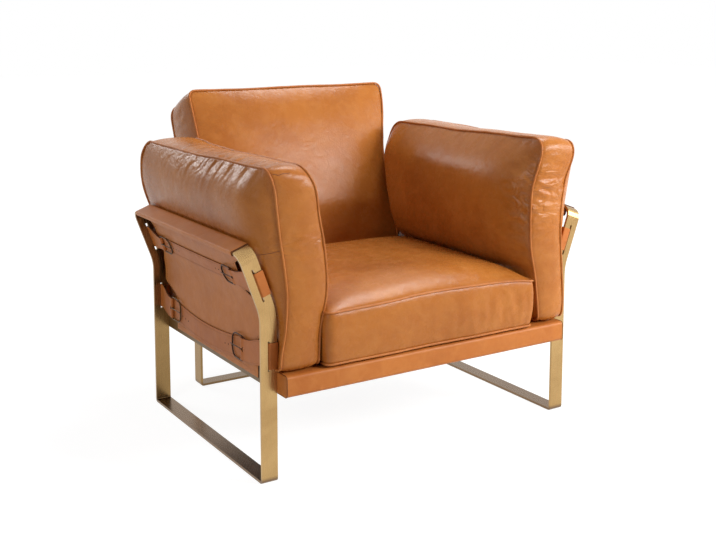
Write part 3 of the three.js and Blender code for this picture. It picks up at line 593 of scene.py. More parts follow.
def cushion_mesh(name, faces, place, crown, rows, material):
    """A boxed cushion. faces gives, for each of its two faces, the sides of its outline and a function of
    p, q, u and v for its height across the thickness. crown is how far the boxing swells out."""
    points, quads, rims, side_of = np.empty((0, 3)), [], [], []
    for which, (sides, height) in zip((1.0, -1.0), faces):
        grid, u, v = patch(sides)
        p, q = grid[..., 0], grid[..., 1]
        index = len(points) + np.arange(p.size).reshape(p.shape)
        points = np.vstack([points, np.stack([p, q, height(p, q, u, v)], axis=-1).reshape(-1, 3)])
        side_of += [which] * p.size
        quads += list(grid_faces(index))
        rims.append(rim(index))
    first, second = points[rims[0]], points[rims[1]]
    middle = (first[:, :2] + second[:, :2]) / 2
    run = np.roll(middle, -1, axis=0) - np.roll(middle, 1, axis=0)
    outward = np.stack([run[:, 1], -run[:, 0]], axis=1)
    outward /= np.linalg.norm(outward, axis=1)[:, None]
    previous = rims[0]
    for row in range(1, rows):
        share = row / rows
        ring = lerp(first, second, share)
        ring[:, :2] += outward * crown * (4 * share * (1 - share)) ** 0.7
        current = len(points) + np.arange(len(ring))
        points = np.vstack([points, ring])
        side_of += [0.0] * len(ring)
        quads += band(previous, current)
        previous = current
    quads += band(previous, rims[1])
    obj = new_object(name, place(*points.T), quads, material)
    set_attribute(obj.data, "side", side_of)
    pinned = np.zeros(len(points))
    pinned[np.concatenate(rims)] = 1.0
    return obj, pinned, rims


SETTLING_FRAMES = 14
CLOTH = {"quality": 5, "mass": 0.2, "tension_stiffness": 14.0, "compression_stiffness": 14.0,
         "shear_stiffness": 6.0, "bending_stiffness": 0.6, "air_damping": 4.0, "vertex_group_mass": "held",
         "pin_stiffness": 1.0, "vertex_group_shrink": "slack", "shrink_min": 0.0, "shrink_max": -0.05,
         "use_pressure": True}


def settle(obj, held, slack, pressure, cap):
    """Lets the cover take up its slack over the filling, moving by no more than cap. held is how firmly
    each point is kept."""
    start = coordinates(obj.data)
    for name, values in (("held", held), ("slack", slack)):
        group = obj.vertex_groups.new(name=name)
        levels = np.round(np.clip(values, 0.0, 1.0), 2)
        for level in np.unique(levels):
            group.add([int(i) for i in np.nonzero(levels == level)[0]], float(level), "REPLACE")
    modifier = obj.modifiers.new("cloth", "CLOTH")
    for key, value in CLOTH.items():
        setattr(modifier.settings, key, value)
    modifier.settings.uniform_pressure_force = pressure
    modifier.settings.effector_weights.gravity = 0.0
    modifier.collision_settings.use_collision = False
    modifier.point_cache.frame_start = 1
    modifier.point_cache.frame_end = SETTLING_FRAMES
    for step in range(1, SETTLING_FRAMES + 1):
        scene.frame_set(step)
    graph = bpy.context.evaluated_depsgraph_get()
    shift = coordinates(obj.evaluated_get(graph).data) - start
    size = np.linalg.norm(shift, axis=1)[:, None]
    shift *= np.minimum(1.0, cap / np.maximum(size, 1e-6))
    obj.modifiers.remove(modifier)
    obj.vertex_groups.clear()
    set_coordinates(obj.data, start + shift)
    scene.frame_set(1)


def nearest(points, line):
    """For each point, the distance to the nearest point of a line and that point's index."""
    tree = kdtree.KDTree(len(line))
    for i, p in enumerate(line):
        tree.insert(p, i)
    tree.balance()
    found = [tree.find(p) for p in points]
    return np.array([f[2] for f in found]), np.array([f[1] for f in found])


def pucker(points, normals, line, seed, amount, reach, pitch):
    """Short folds that run away from a seam. amount is a function of the nearest seam points."""
    distance, index = nearest(points, line)
    place = arc_lengths(line)[index]
    wave = Grain(seed)
    folds = wave(np.stack([place + 0.25 * distance, distance * 0.16, 0 * place], axis=1), pitch, 2)
    strength = amount(line)[index] if callable(amount) else amount
    fade = np.exp(-(distance / reach) ** 1.5) * smooth(distance, 0.5, 7.0)
    return points + normals * (strength * folds * fade)[:, None]


def strokes(points, normals, lines, steps=40):
    """Presses soft creases into a surface. Each is (points, depth, width): a valley with raised sides."""
    for path, depth, width in lines:
        path = resample(path, steps)
        distance, index = nearest(points, path)
        ends = np.sin(np.pi * np.clip(index / steps, 0.0, 1.0)) ** 0.6
        near = distance / width
        shape = -np.exp(-near ** 2) + 0.55 * np.exp(-((near - 1.9) / 0.9) ** 2)
        points = points + normals * (depth * shape * ends)[:, None]
    return points


WELT_RADIUS = 2.7


def piping(name, ring, middle, seed):
    """A welt along a ring of points, standing a little out from the cushion's middle."""
    line = resample(ring, 2 * len(ring), closed=True)
    outward = line - middle
    outward /= np.linalg.norm(outward, axis=1)[:, None]
    wave = Grain(seed)
    line = line + outward + 0.5 * np.stack([wave(line + 50 * k, 38.0) for k in range(3)], axis=1)
    return tube(name, line, WELT_RADIUS * (1 + 0.06 * wave(line, 11.0)), PIPING, sides=10)


FIRMNESS = 0.12


def dress_cushion(node, faces, place, crown, rows, slack, pressure, cap, details, seed, limit,
                  crumple=None):
    """A cushion's cover and its two welts. slack is its least value and its reach from a seam."""
    obj, pinned, rims = cushion_mesh(node + "_cover", faces, place, crown, rows, CUSHION)
    points = coordinates(obj.data)
    distance, _ = nearest(points, points[np.concatenate(rims)])
    held = np.where(pinned > 0, 1.0, FIRMNESS * smooth(distance, 0.0, 30.0) + 0.02)
    least, reach = slack
    settle(obj, held, least + (1 - least) * np.exp(-distance / reach), pressure, cap)
    points = coordinates(obj.data)
    rings = [points[ring] for ring in rims]
    middle = points.mean(axis=0)
    subdivided(obj)
    points = coordinates(obj.data)
    lines = [resample(ring, 4 * len(ring), closed=True) for ring in rings]
    points = limit(details(points, vertex_normals(obj.data), lines, get_attribute(obj.data, "side")))
    set_coordinates(obj.data, points)
    # painted shade beside the welts: strongest at the seam, fading over about 5 mm
    distance, _ = nearest(points, np.vstack(lines))
    set_attribute(obj.data, "seam", np.exp(-distance / 5.0))
    if crumple is not None:
        set_attribute(obj.data, "crumple", crumple(points))
    attach(obj, node, node)
    for k, ring in enumerate(rings):
        welt = piping(f"{node.replace('_cushion', '')}_welt_{k + 1}", ring, middle, seed + k)
        attach(welt, node)
    return obj


def above_deck(points, gap=0.5):
    """Keeps a cover off the rails and the deck below it."""
    return np.column_stack([points[:, :2], np.maximum(points[:, 2], BASE_TOP + gap)])


def wavy(amount, turns, phase):
    """A side's inward bow that waves a little."""
    return lambda share: (amount + 1.3 * np.sin(2 * np.pi * turns * share + phase)) * np.sin(np.pi * share)


def crowned(u, v, power_u, power_v):
    return (1 - np.abs(2 * u - 1) ** power_u) * (1 - np.abs(2 * v - 1) ** power_v)


def seat_cushion():
    counts = [64, 62, 64, 62]
    front_welt = through([(-290, 364), (-153, 367), (-18, 372.5), (126, 371), (230, 366), (290, 359)])
    left, right, front, back = -287.0, 290.0, -41.0, 518.0
    radii = [16.0, 12.0, 26.0, 26.0]

    def top_height(p, q, u, v):
        welt = lerp(front_welt(p), 364.0, smooth(q, 0.0, 300.0))
        return welt + 26.0 * crowned(u, v, 13.0, 8.0) + 12.0 * crowned(u, v, 2.4, 2.6)

    def bottom_height(p, q, u, v):
        return 250.5 - 5.0 * np.minimum(crowned(u, v, 14.0, 14.0) * 3, 1.0)

    top = outline_sides([(left, front), (right, front), (right, back), (left, back)], radii, counts,
                        [wavy(3.0, 2.5, 0.6), wavy(5.0, 1.5, 0.0), 5.0, wavy(5.0, 1.5, 1.0)])
    bottom_corners = [(left - 2, front + 1), (right - 4, front + 1), (right - 2, back), (left, back)]
    bottom = outline_sides(bottom_corners, radii, counts, [wavy(2.0, 2.0, 2.0), 4.0, 4.0, 4.0])

    def details(points, normals, lines, side):
        def near_right(line):
            return 0.35 + 1.1 * np.exp(-((line[:, 0] - 170) / 120) ** 2) * (line[:, 1] < 0)

        points = pucker(points, normals, lines[1], 21, near_right, 60.0, 22.0)
        points = pucker(points, normals, lines[0], 22, 0.45, 28.0, 17.0)
        on_front = (points[:, 1] < 10) & (side > -0.5)
        creases = ((58, 0.5, 9), (118, 0.8, 10), (150, 0.9, 8), (190, 0.8, 9), (232, 0.9, 10), (262, 0.7, 8))
        folds = [([(x, -48, 262), (x + 3, -50, 305), (x - 4, -48, 352)], depth, width)
                 for x, depth, width in creases]
        points[on_front] = strokes(points[on_front], normals[on_front], folds)
        return points

    def upright(p, q, r):
        return np.stack([p, q, r], axis=-1)

    def limit(points):
        kept = above_deck(points, 0.4)
        kept[:, 0] = np.clip(kept[:, 0], left - 6, right + 6)
        return kept

    dress_cushion("seat_cushion", [(top, top_height), (bottom, bottom_height)], upright, 7.0, 12,
                  (0.35, 25.0), 1.0, 5.0, details, 31, limit)


# The inner side of the leaning posts, as a function of height
POST_UPS = np.linspace(190.0, 560.0, 200)
POST_OUT, POST_HEIGHT = lean(-BAR_WIDTH / 2, POST_UPS)
SLING_OUT, SLING_HEIGHT = lean(SLING_PLANE - SLING_LEATHER / 2, POST_UPS)


def arm_room(y, z):
    """How far out from the chair's middle an arm cushion may reach beside its loop."""
    post = SIDE_MIDDLE + np.interp(z, POST_HEIGHT, POST_OUT) - 3.2
    sling = SIDE_MIDDLE + np.interp(z, SLING_HEIGHT, SLING_OUT) - 1.6
    rail = SIDE_MIDDLE + lean(-BAR_WIDTH / 2 - 3.4, LOOP_RISE - 3.0)[0] - 1.0
    by_post = np.maximum(1 - smooth(y, 36.0, 62.0), smooth(y, 535.0, 561.0)) * smooth(y, -14.0, -3.0)
    side = np.minimum(lerp(sling, post, by_post), rail)
    above = smooth(z, 524.0, 546.0)
    return lerp(side, side + 60.0, above)


def arm_cushion(side):
    """The arm cushion on one side: -1 is the left, 1 the right."""
    node = "left_arm_cushion" if side < 0 else "right_arm_cushion"
    counts = [84, 60, 84, 60]
    rear_welt = through([(250, 384), (349, 385), (400, 392), (440, 404), (480, 419), (517, 432), (560, 446),
                         (610, 452), (650, 448), (681, 434)])
    if side < 0:
        front_welt = through([(250, 393), (273, 392), (340, 381), (425, 377), (480, 383), (533, 391),
                              (590, 398), (640, 404), (682, 419)])
        inner_welt = through([(249, 301), (337, 295), (401, 281), (489, 283), (577, 298), (640, 309),
                              (682, 330)])
        outer_corners = [(-23, 250), (595, 250), (597, 681), (-23, 683)]
        inner_corners = [(-23, 250), (597, 250), (599, 681), (-24, 682)]
    else:
        front_welt = through([(250, 396), (282, 399), (368, 394), (440, 388), (508, 388), (594, 400),
                              (660, 423), (684, 421)])
        inner_welt = through([(247, 322), (354, 309), (443, 292), (530, 291), (578, 294), (649, 317),
                              (698, 328)])
        outer_corners = [(-24, 250), (595, 250), (597, 686), (-24, 688)]
        inner_corners = [(-24, 250), (597, 250), (600, 690), (-24, 700)]
    mid_outer = through([(250, 386), (349, 388), (400, 402), (460, 426), (500, 437), (522, 441), (550, 448),
                         (590, 456), (612, 458), (650, 450), (690, 428)])
    mid_inner = through([(250, 296), (330, 295), (372, 290), (392, 266), (430, 250), (480, 245), (560, 245),
                         (620, 250), (660, 268), (700, 300)])
    back_front = through([(240, 526), (380, 528), (440, 540), (600, 600), (675, 650), (700, 660)])
    beside = through([(250, 286), (350, 286), (450, 285), (540, 284), (580, 284), (610, 288), (650, 302),
                      (700, 322)])
    outer = outline_sides(outer_corners, [18.0, 22.0, 30.0, 24.0], counts,
                          [3.0, wavy(4.0, 1.0, 0.0), wavy(4.0, 2.5, 1.0), wavy(2.0, 1.0, 0.5)])
    inner = outline_sides(inner_corners, [18.0, 22.0, 40.0, 44.0], counts,
                          [3.0, wavy(4.0, 1.0, 0.0), wavy(4.0, 2.0, 2.2), wavy(2.0, 1.0, 0.5)])

    def outer_height(p, q, u, v):
        welt = lerp(front_welt(q), rear_welt(q), smooth(p, 60.0, 560.0))
        return lerp(welt, mid_outer(q), crowned(u, v, 12.0, 9.0))

    def inner_height(p, q, u, v):
        beside_back = smooth(p, back_front(q) - 30.0, back_front(q) + 6.0)
        welt = lerp(inner_welt(q), np.minimum(inner_welt(q), beside(q)), smooth(p, 440.0, 520.0))
        full = lerp(mid_inner(q), np.minimum(welt, beside(q)), beside_back)
        ends = np.where(u > 0.5, 12.0, 4.5)
        heights = np.where(v > 0.5, 4.0, 8.0)
        return lerp(welt, full, crowned(u, v, ends, heights))

    def place(p, q, r):
        return np.stack([side * r, p, q], axis=-1)

    def details(points, normals, lines, which):
        seed = 41 if side < 0 else 51
        if side < 0:
            def at_top(line):
                along_top = np.exp(-((line[:, 1] - 190) / 190) ** 4)
                return 0.5 + 2.9 * smooth(line[:, 2], 640, 670) * along_top

            points = pucker(points, normals, lines[0], seed, at_top, 38.0, 13.0)
            points = pucker(points, normals, lines[1], seed + 1, 0.5, 26.0, 17.0)
            creases = [
                ([(-368, -34, 524), (-345, -36, 520), (-318, -33, 513)], 2.4, 8),
                ([(-372, -34, 500), (-348, -36, 498), (-322, -33, 494)], 1.0, 9),
                ([(-372, -34, 548), (-350, -36, 552), (-325, -33, 560)], 0.7, 10),
                ([(-362, -34, 640), (-340, -35, 650), (-318, -32, 654)], 0.8, 9),
                ([(-360, -34, 470), (-340, -36, 462), (-312, -33, 452)], 0.7, 12),
            ]
        else:
            def by_pinch(line):
                return 0.6 + 3.4 * (line[:, 1] < 0) * np.exp(-((line[:, 2] - 555) / 80) ** 2)

            points = pucker(points, normals, lines[1], seed, by_pinch, 48.0, 15.0)
            points = pucker(points, normals, lines[0], seed + 1, 0.5, 26.0, 16.0)
            creases = [
                ([(292, -34, 594), (326, -37, 577), (352, -35, 566)], 5.6, 8),
                ([(350, -36, 566), (374, -36, 574), (396, -32, 586)], 4.4, 8),
                ([(298, -34, 562), (325, -36, 551), (356, -35, 543)], 3.4, 8),
                ([(296, -34, 616), (330, -36, 608), (384, -33, 606)], 2.2, 9),
                ([(300, -34, 640), (336, -36, 632), (392, -33, 634)], 1.3, 10),
                ([(300, -34, 536), (330, -36, 524), (362, -35, 519)], 1.4, 9),
                ([(302, -34, 500), (326, -36, 492), (352, -35, 490)], 0.9, 10),
                ([(280, -12, 598), (264, 18, 588), (254, 56, 583)], 2.8, 9),
                ([(280, -10, 572), (264, 18, 567), (253, 52, 570)], 2.2, 8),
                ([(280, -10, 550), (266, 14, 552), (256, 40, 560)], 1.3, 8),
                ([(280, -10, 504), (264, 16, 493), (252, 58, 487)], 2.2, 9),
                ([(282, -10, 476), (266, 20, 470), (252, 66, 474)], 1.6, 9),
                ([(286, -10, 430), (270, 14, 424), (256, 44, 422)], 1.2, 9),
                ([(292, -4, 640), (280, 20, 634), (268, 60, 628)], 1.2, 10),
            ]
        points = strokes(points, normals, creases)
        return points + normals * (0.9 * Grain(seed + 7)(points, 85.0, 2))[:, None]

    def limit(points):
        reach = points[:, 0] * side
        room = arm_room(points[:, 1], points[:, 2])
        over = reach - room
        reach = np.where(over > -4, room - 4 * np.exp(-np.clip(over + 4, 0, 60) / 4), reach)
        reach = np.maximum(reach, lerp(293.0, 240.0, smooth(points[:, 2], 364.0, 404.0)))
        kept = above_deck(points)
        kept[:, 0] = side * reach
        return kept

    def crumple(points):
        """How finely the cover is creased: along the left arm's top and in the right arm's pinch."""
        y, z = points[:, 1], points[:, 2]
        if side < 0:
            by_top = 0.42 * smooth(z, 596.0, 668.0) * np.exp(-((y - 240.0) / 240.0) ** 4)
            return np.maximum(by_top, 0.7 * np.exp(-((z - 520.0) / 26.0) ** 2) * (1 - smooth(y, -20.0, 20.0)))
        return 0.85 * np.exp(-((z - 560.0) / 66.0) ** 2) * (1 - smooth(y, -20.0, 70.0))

    return dress_cushion(node, [(outer, outer_height), (inner, inner_height)], place, 7.5, 16,
                         (0.3, 30.0), 1.2, 6.0, details, 61 if side < 0 else 65, limit, crumple)


def back_cushion():
    counts = [66, 62, 66, 62]
    loop = LOOPS["back"]
    left_edge = through([(250, -277), (350, -277), (450, -277), (560, -277), (640, -282), (700, -285),
                         (777, -289)])
    right_edge = through([(250, 277), (350, 277), (450, 277), (530, 277), (580, 280), (630, 290), (680, 301),
                          (730, 309), (777, 311)])

    def sides(bottom, top, radii):
        corners = [(float(left_edge(bottom)), bottom), (float(right_edge(bottom)), bottom),
                   (float(right_edge(top)), top), (float(left_edge(top)), top)]
        runs = outline_sides(corners, radii, counts, [3.0, 0.0, wavy(2.0, 1.5, 0.4), 0.0])
        for k, edge in ((1, right_edge), (3, left_edge)):
            (start, low), (end, high) = corners[k], corners[(k + 1) % 4]
            q = runs[k][:, 1]
            runs[k][:, 0] += edge(q) - lerp(start, end, (q - low) / (high - low))
        return runs

    front_sides = sides(250.0, 774.0, [20.0, 20.0, 22.0, 22.0])
    rear_sides = sides(250.0, 771.0, [24.0, 24.0, 36.0, 40.0])
    rear_out = through([(250, -15), (349, -15), (430, -20), (480, -27), (530, -27), (585, -6), (640, 10),
                        (720, 10), (777, 0)])

    def front_height(p, q, u, v):
        rise = smooth(q, 360.0, 440.0)
        return -131.0 - (24.0 * rise + 3.0) * crowned(u, v, 3.4, 5.0)

    def rear_height(p, q, u, v):
        return rear_out(q) + 16.0 * crowned(u, v, 4.0, 4.0) * smooth(q, 560.0, 640.0)

    def place(p, q, r):
        return on_loop(loop, r, BACK_LENGTH / 2 + p, q)

    def details(points, normals, lines, which):
        points = pucker(points, normals, lines[0], 71, 0.5, 30.0, 20.0)
        points = pucker(points, normals, lines[1], 72, 0.6, 30.0, 18.0)
        creases = [
            ([(-294, 700, 740), (-290, 720, 722), (-286, 745, 716)], 1.6, 9),
            ([(-292, 690, 700), (-288, 715, 694), (-286, 745, 684)], 1.4, 9),
            ([(-290, 690, 672), (-288, 720, 668), (-286, 750, 662)], 1.0, 8),
            ([(-262, 640, 730), (-240, 636, 722), (-215, 634, 720)], 0.7, 10),
            ([(-258, 628, 690), (-235, 622, 684), (-205, 620, 684)], 0.7, 10),
        ]
        points = strokes(points, normals, creases)
        return points + normals * (0.8 * Grain(77)(points, 110.0, 2))[:, None]

    dress_cushion("back_cushion", [(front_sides, front_height), (rear_sides, rear_height)], place, 7.0, 14,
                  (0.3, 30.0), 1.0, 5.0, details, 75, above_deck)


def face_seam(cushion, name, path, node):
    """A sewn line laid on a cushion's cover."""
    tree = BVHTree.FromObject(cushion, bpy.context.evaluated_depsgraph_get())
    found = [tree.find_nearest(Vector(p)) for p in metres(resample(path, 60))]
    on_cover = np.array([f[0] for f in found]) / MM + (0.0, MIDDLE_DEPTH, 0.0)
    normals = np.array([f[1] for f in found])
    seam = tube(name, on_cover + normals * 0.05, 0.6, SEAM, closed=False, sides=6)
    attach(seam, node)


seat_cushion()
left_cover = arm_cushion(-1)
for name, path in (("corner", [(-366, -51, 690), (-400, -80, 690), (-442, -116, 688)]),
                   ("side", [(-388, -33, 511), (-420, 30, 499), (-430, 91, 492)])):
    face_seam(left_cover, f"left_arm_{name}_seam", path, "left_arm_cushion")
arm_cushion(1)
back_cushion()

# Leather slings, straps and post loops

STRAP_PLANE = SLING_PLANE + (SLING_LEATHER + LEATHER) / 2 + CLEARANCE
BUCKLE_BAR, TONGUE_BAR, BUCKLE_LIFT, BUCKLE_LENGTH, BUCKLE_MARGIN = 1.7, 1.2, 0.5, 50.0, 1.5
SLOT_WIDTH = 5.0
LACES = {
    "upper": {"slot": 440.0, "loop": 56.0, "strap": 36.0, "middle": 434.0, "sag": 3.0},
    "lower": {"slot": 280.0, "loop": 58.0, "strap": 50.0, "middle": 264.0, "sag": 17.0},
}


def slab(name, grid, thickness, material, closed=False, opened=None, thicker=None):
    """Leather over a grid of points [j, i], with half its thickness on each side. opened marks the faces to
    leave out, and thicker adds to the thickness along j."""
    index = np.arange(grid[..., 0].size).reshape(grid.shape[:2])
    faces = grid_faces(np.vstack([index, index[:1]]) if closed else index)
    if opened is not None:
        faces = faces[~opened.ravel()]
    obj = new_object(name, grid.reshape(-1, 3), faces, material)
    obj.data.materials.append(EDGE)
    solid = obj.modifiers.new("thickness", "SOLIDIFY")
    solid.thickness = thickness * MM
    solid.offset = 0.0
    solid.material_offset_rim = 1
    if thicker is not None:
        most = thickness + max(thicker)
        group = obj.vertex_groups.new(name="thickness")
        for row, more in zip(index, thicker):
            group.add([int(i) for i in row], (thickness + more) / most, "REPLACE")
        solid.vertex_group = "thickness"
        solid.thickness = most * MM
    solid.use_even_offset = True
    rounded(obj, 0.4, 50)
    return obj


def away_from(loop, along, up):
    """The way out of the leather at places on a loop."""
    return on_loop(loop, 2.0, along, up) - on_loop(loop, 1.0, along, up)


def stitches(name, line, away, pitch=7.0, length=4.6, radius=0.42, sides=5):
    """A row of thread stitches along a line, lifted along away."""
    place = arc_lengths(line)
    points, faces = [], []
    turns = [(math.cos(2 * math.pi * k / sides), math.sin(2 * math.pi * k / sides)) for k in range(sides)]
    for start in np.arange(pitch / 2, place[-1] - length, pitch):
        at = np.array([[np.interp(start + length * t, place, line[:, k]) for k in range(3)]
                       for t in (0.0, 0.3, 0.7, 1.0)])
        lift = np.array([np.interp(start, place, away[:, k]) for k in range(3)])
        run = at[-1] - at[0]
        run /= np.linalg.norm(run)
        across = np.cross(run, lift)
        rings = len(points) + np.arange(4 * sides).reshape(4, sides)
        for p, rise, size in zip(at, (-0.35, 0.25, 0.25, -0.35), (0.5, 1.0, 1.0, 0.5)):
            points += [p + lift * rise + radius * size * (c * across + s * lift) for c, s in turns]
        for ring, following in zip(rings, rings[1:]):
            faces += band(ring, following)
        faces += [tuple(rings[0]), tuple(rings[-1][::-1])]
    return new_object(name, points, faces, THREAD)


def sew_edges(name, grid, outward, rows):
    """A row of stitches along each edge of a strap or a post loop."""
    for column, place in ((1, "low"), (-2, "high")):
        line = grid[rows, column] + outward[rows, column] * (LEATHER / 2 + 0.05)
        thread = stitches(f"{name}_{place}_stitches", line, outward[rows, column],
                          pitch=6.0, length=4.0, radius=0.36)
        attach(thread, "chair_frame")


def bend(centre, radius, start, end, count):
    angles = np.radians(np.linspace(start, end, count + 1))
    return [(centre[0] + radius * math.cos(a), centre[1] + radius * math.sin(a)) for a in angles]


def from_post(loop, post, inward):
    return inward if post == "front" else loop["length"] - inward


def lace_name(which, level, post):
    """The first words of a post loop's, buckle's or tongue's name: the back's ends are left and right."""
    end = {"front": "left", "rear": "right"}[post] if which == "back" else post
    return f"{which}_{level}_{end}"


SLING_HEM, SLING_FREE_TOP, SLING_ROWS = 215.0, 497.0, 46
EDGE_INSET, SLEEVE_INSET = 26.0, 28.0


def sling_inset(up, upper, lower):
    """How far the sling's edge is in from a post. upper and lower are its openings beside the post loops."""
    near_upper = 1 - smooth(np.abs(up - LACES["upper"]["slot"]), 31.0, 65.0)
    above_lower = 1 - smooth(up, 295.5, 329.5)
    opened = EDGE_INSET + np.maximum((upper - EDGE_INSET) * near_upper, (lower - EDGE_INSET) * above_lower)
    return lerp(opened, SLEEVE_INSET, smooth(up, 471.0, 511.0))


def sling(which):
    loop = LOOPS[which]
    wrap = CLEARANCE + SLING_LEATHER / 2
    top, under, half = LOOP_RISE, LOOP_RISE - BAR_THICKNESS, BAR_WIDTH / 2
    seam_plane = SLING_PLANE + SLING_LEATHER + CLEARANCE
    path = [(SLING_PLANE, up) for up in np.linspace(SLING_HEM, SLING_FREE_TOP, SLING_ROWS)]
    path += [(SLING_PLANE - 0.2, 504.0), (SLING_PLANE - 0.6, 509.5), (SLING_PLANE - 2.0, 513.6)]
    path += bend((-half, under), wrap, 270, 180, 4) + bend((-half, top), wrap, 180, 90, 4)
    path += [(x, top + wrap) for x in np.linspace(-half, half, 8)[1:-1]]
    path += bend((half, top), wrap, 90, 0, 4) + bend((half, under), wrap, 0, -90, 4)
    path += [(12.0, under - wrap), (6.0, under - wrap - 0.1), (1.4, under - 2.4), (-1.2, under - 4.6)]
    path += [(seam_plane + 0.1, under - 8.0)]
    path += [(seam_plane, up) for up in np.linspace(under - 12.0, under - 20.0, 3)]
    path = np.array(path)
    wide, lower_front, upper_rear = 97.0, 60.0, 46.0
    if which == "back":
        lower_front = upper_rear = wide
    front_inset = sling_inset(path[:, 1], wide, lower_front)[:, None]
    rear_inset = sling_inset(path[:, 1], upper_rear, wide)[:, None]
    along = lerp(front_inset, loop["length"] - rear_inset, np.linspace(0.0, 1.0, 49)[None, :])
    out = np.broadcast_to(path[:, :1], along.shape)
    up = np.broadcast_to(path[:, 1:], along.shape)
    sway = Grain({"left": 81, "right": 82, "back": 83}[which])
    wave = sway(np.stack([along.ravel(), up.ravel(), 0 * up.ravel()], axis=1), 90.0, 2).reshape(along.shape)
    hanging = (np.arange(len(path)) < SLING_ROWS)[:, None]
    free = smooth(up, 250.0, 275.0) * (1 - smooth(up, 470.0, 495.0)) * hanging
    grid = on_loop(loop, out - 0.7 * np.abs(wave) * free, along, up)
    obj = slab(f"{which}_sling_leather", grid, SLING_LEATHER, HIDE)
    attach(obj, "chair_frame", f"{which}_sling")
    down = on_loop(loop, path[:, 0], loop["length"] / 2, path[:, 1])
    outward = away_from(loop, along, up)
    inner, edge = slice(1, -1), slice(3, 44)
    for name, row, column, lift in (("sling_hem", 2, inner, 1.1), ("sleeve", -2, inner, 1.15),
                                    ("sling_front", edge, 1, 1.15), ("sling_rear", edge, -2, 1.15)):
        line = grid[row, column] + outward[row, column] * lift
        attach(stitches(f"{which}_{name}_stitches", line, outward[row, column]), "chair_frame")


HOLES, FIRST_HOLE, HOLE_PITCH, HOLE_RADIUS, HOLE_SIDES = 3, 9.0, 17.0, 1.9, 12
STRAP_BULGE = 0.5


def long_strap(which, level):
    loop, lace = LOOPS[which], LACES[level]
    stop = BUCKLE_BAR + CLEARANCE + 2 * TONGUE_BAR + CLEARANCE
    start, end = loop["reaches"]["front"] + stop, loop["length"] - loop["reaches"]["rear"] - stop
    along = np.linspace(start, end, 48)
    across = np.linspace(-0.5, 0.5, 9)[None, :]

    def run_of(place):
        """The share of the strap's run at a place along it, and the height of its middle there."""
        share = (place - start) / (end - start)
        return share, lace["middle"] - lace["sag"] * 4 * share * (1 - share)

    share, middle = run_of(along)
    up = middle[:, None] + across * lace["strap"]
    bulge = STRAP_BULGE * (1 - (2 * across) ** 2) * np.sin(np.pi * share)[:, None]
    grid = on_loop(loop, STRAP_PLANE + bulge, along[:, None], up)
    name = f"{which}_{level}_strap"
    attach(slab(name + "_leather", grid, LEATHER, STRAP_HIDE), "chair_frame", name)
    sew_edges(name, grid, away_from(loop, along[:, None], up), slice(1, -1))
    # no holes are cut: dark discs on the strap's face stand for them, painted shade
    points, faces = [], []
    angles = np.arange(HOLE_SIDES) / HOLE_SIDES * 2 * np.pi
    for post in ("front", "rear"):
        for n in range(HOLES):
            place = from_post(loop, post, loop["reaches"][post] + BUCKLE_LENGTH + FIRST_HOLE + HOLE_PITCH * n)
            share, middle = run_of(place)
            lift = STRAP_PLANE + STRAP_BULGE * math.sin(math.pi * share) + LEATHER / 2 + 0.05
            ring = len(points) + np.arange(HOLE_SIDES)
            for out in (lift, lift - 0.4):
                points += list(on_loop(loop, out, place + HOLE_RADIUS * np.cos(angles),
                                       middle + HOLE_RADIUS * np.sin(angles)))
            faces += band(ring, ring + HOLE_SIDES) + [tuple(ring), tuple(ring[::-1] + HOLE_SIDES)]
    attach(new_object(f"{name}_holes", points, faces, HOLE, False), "chair_frame")


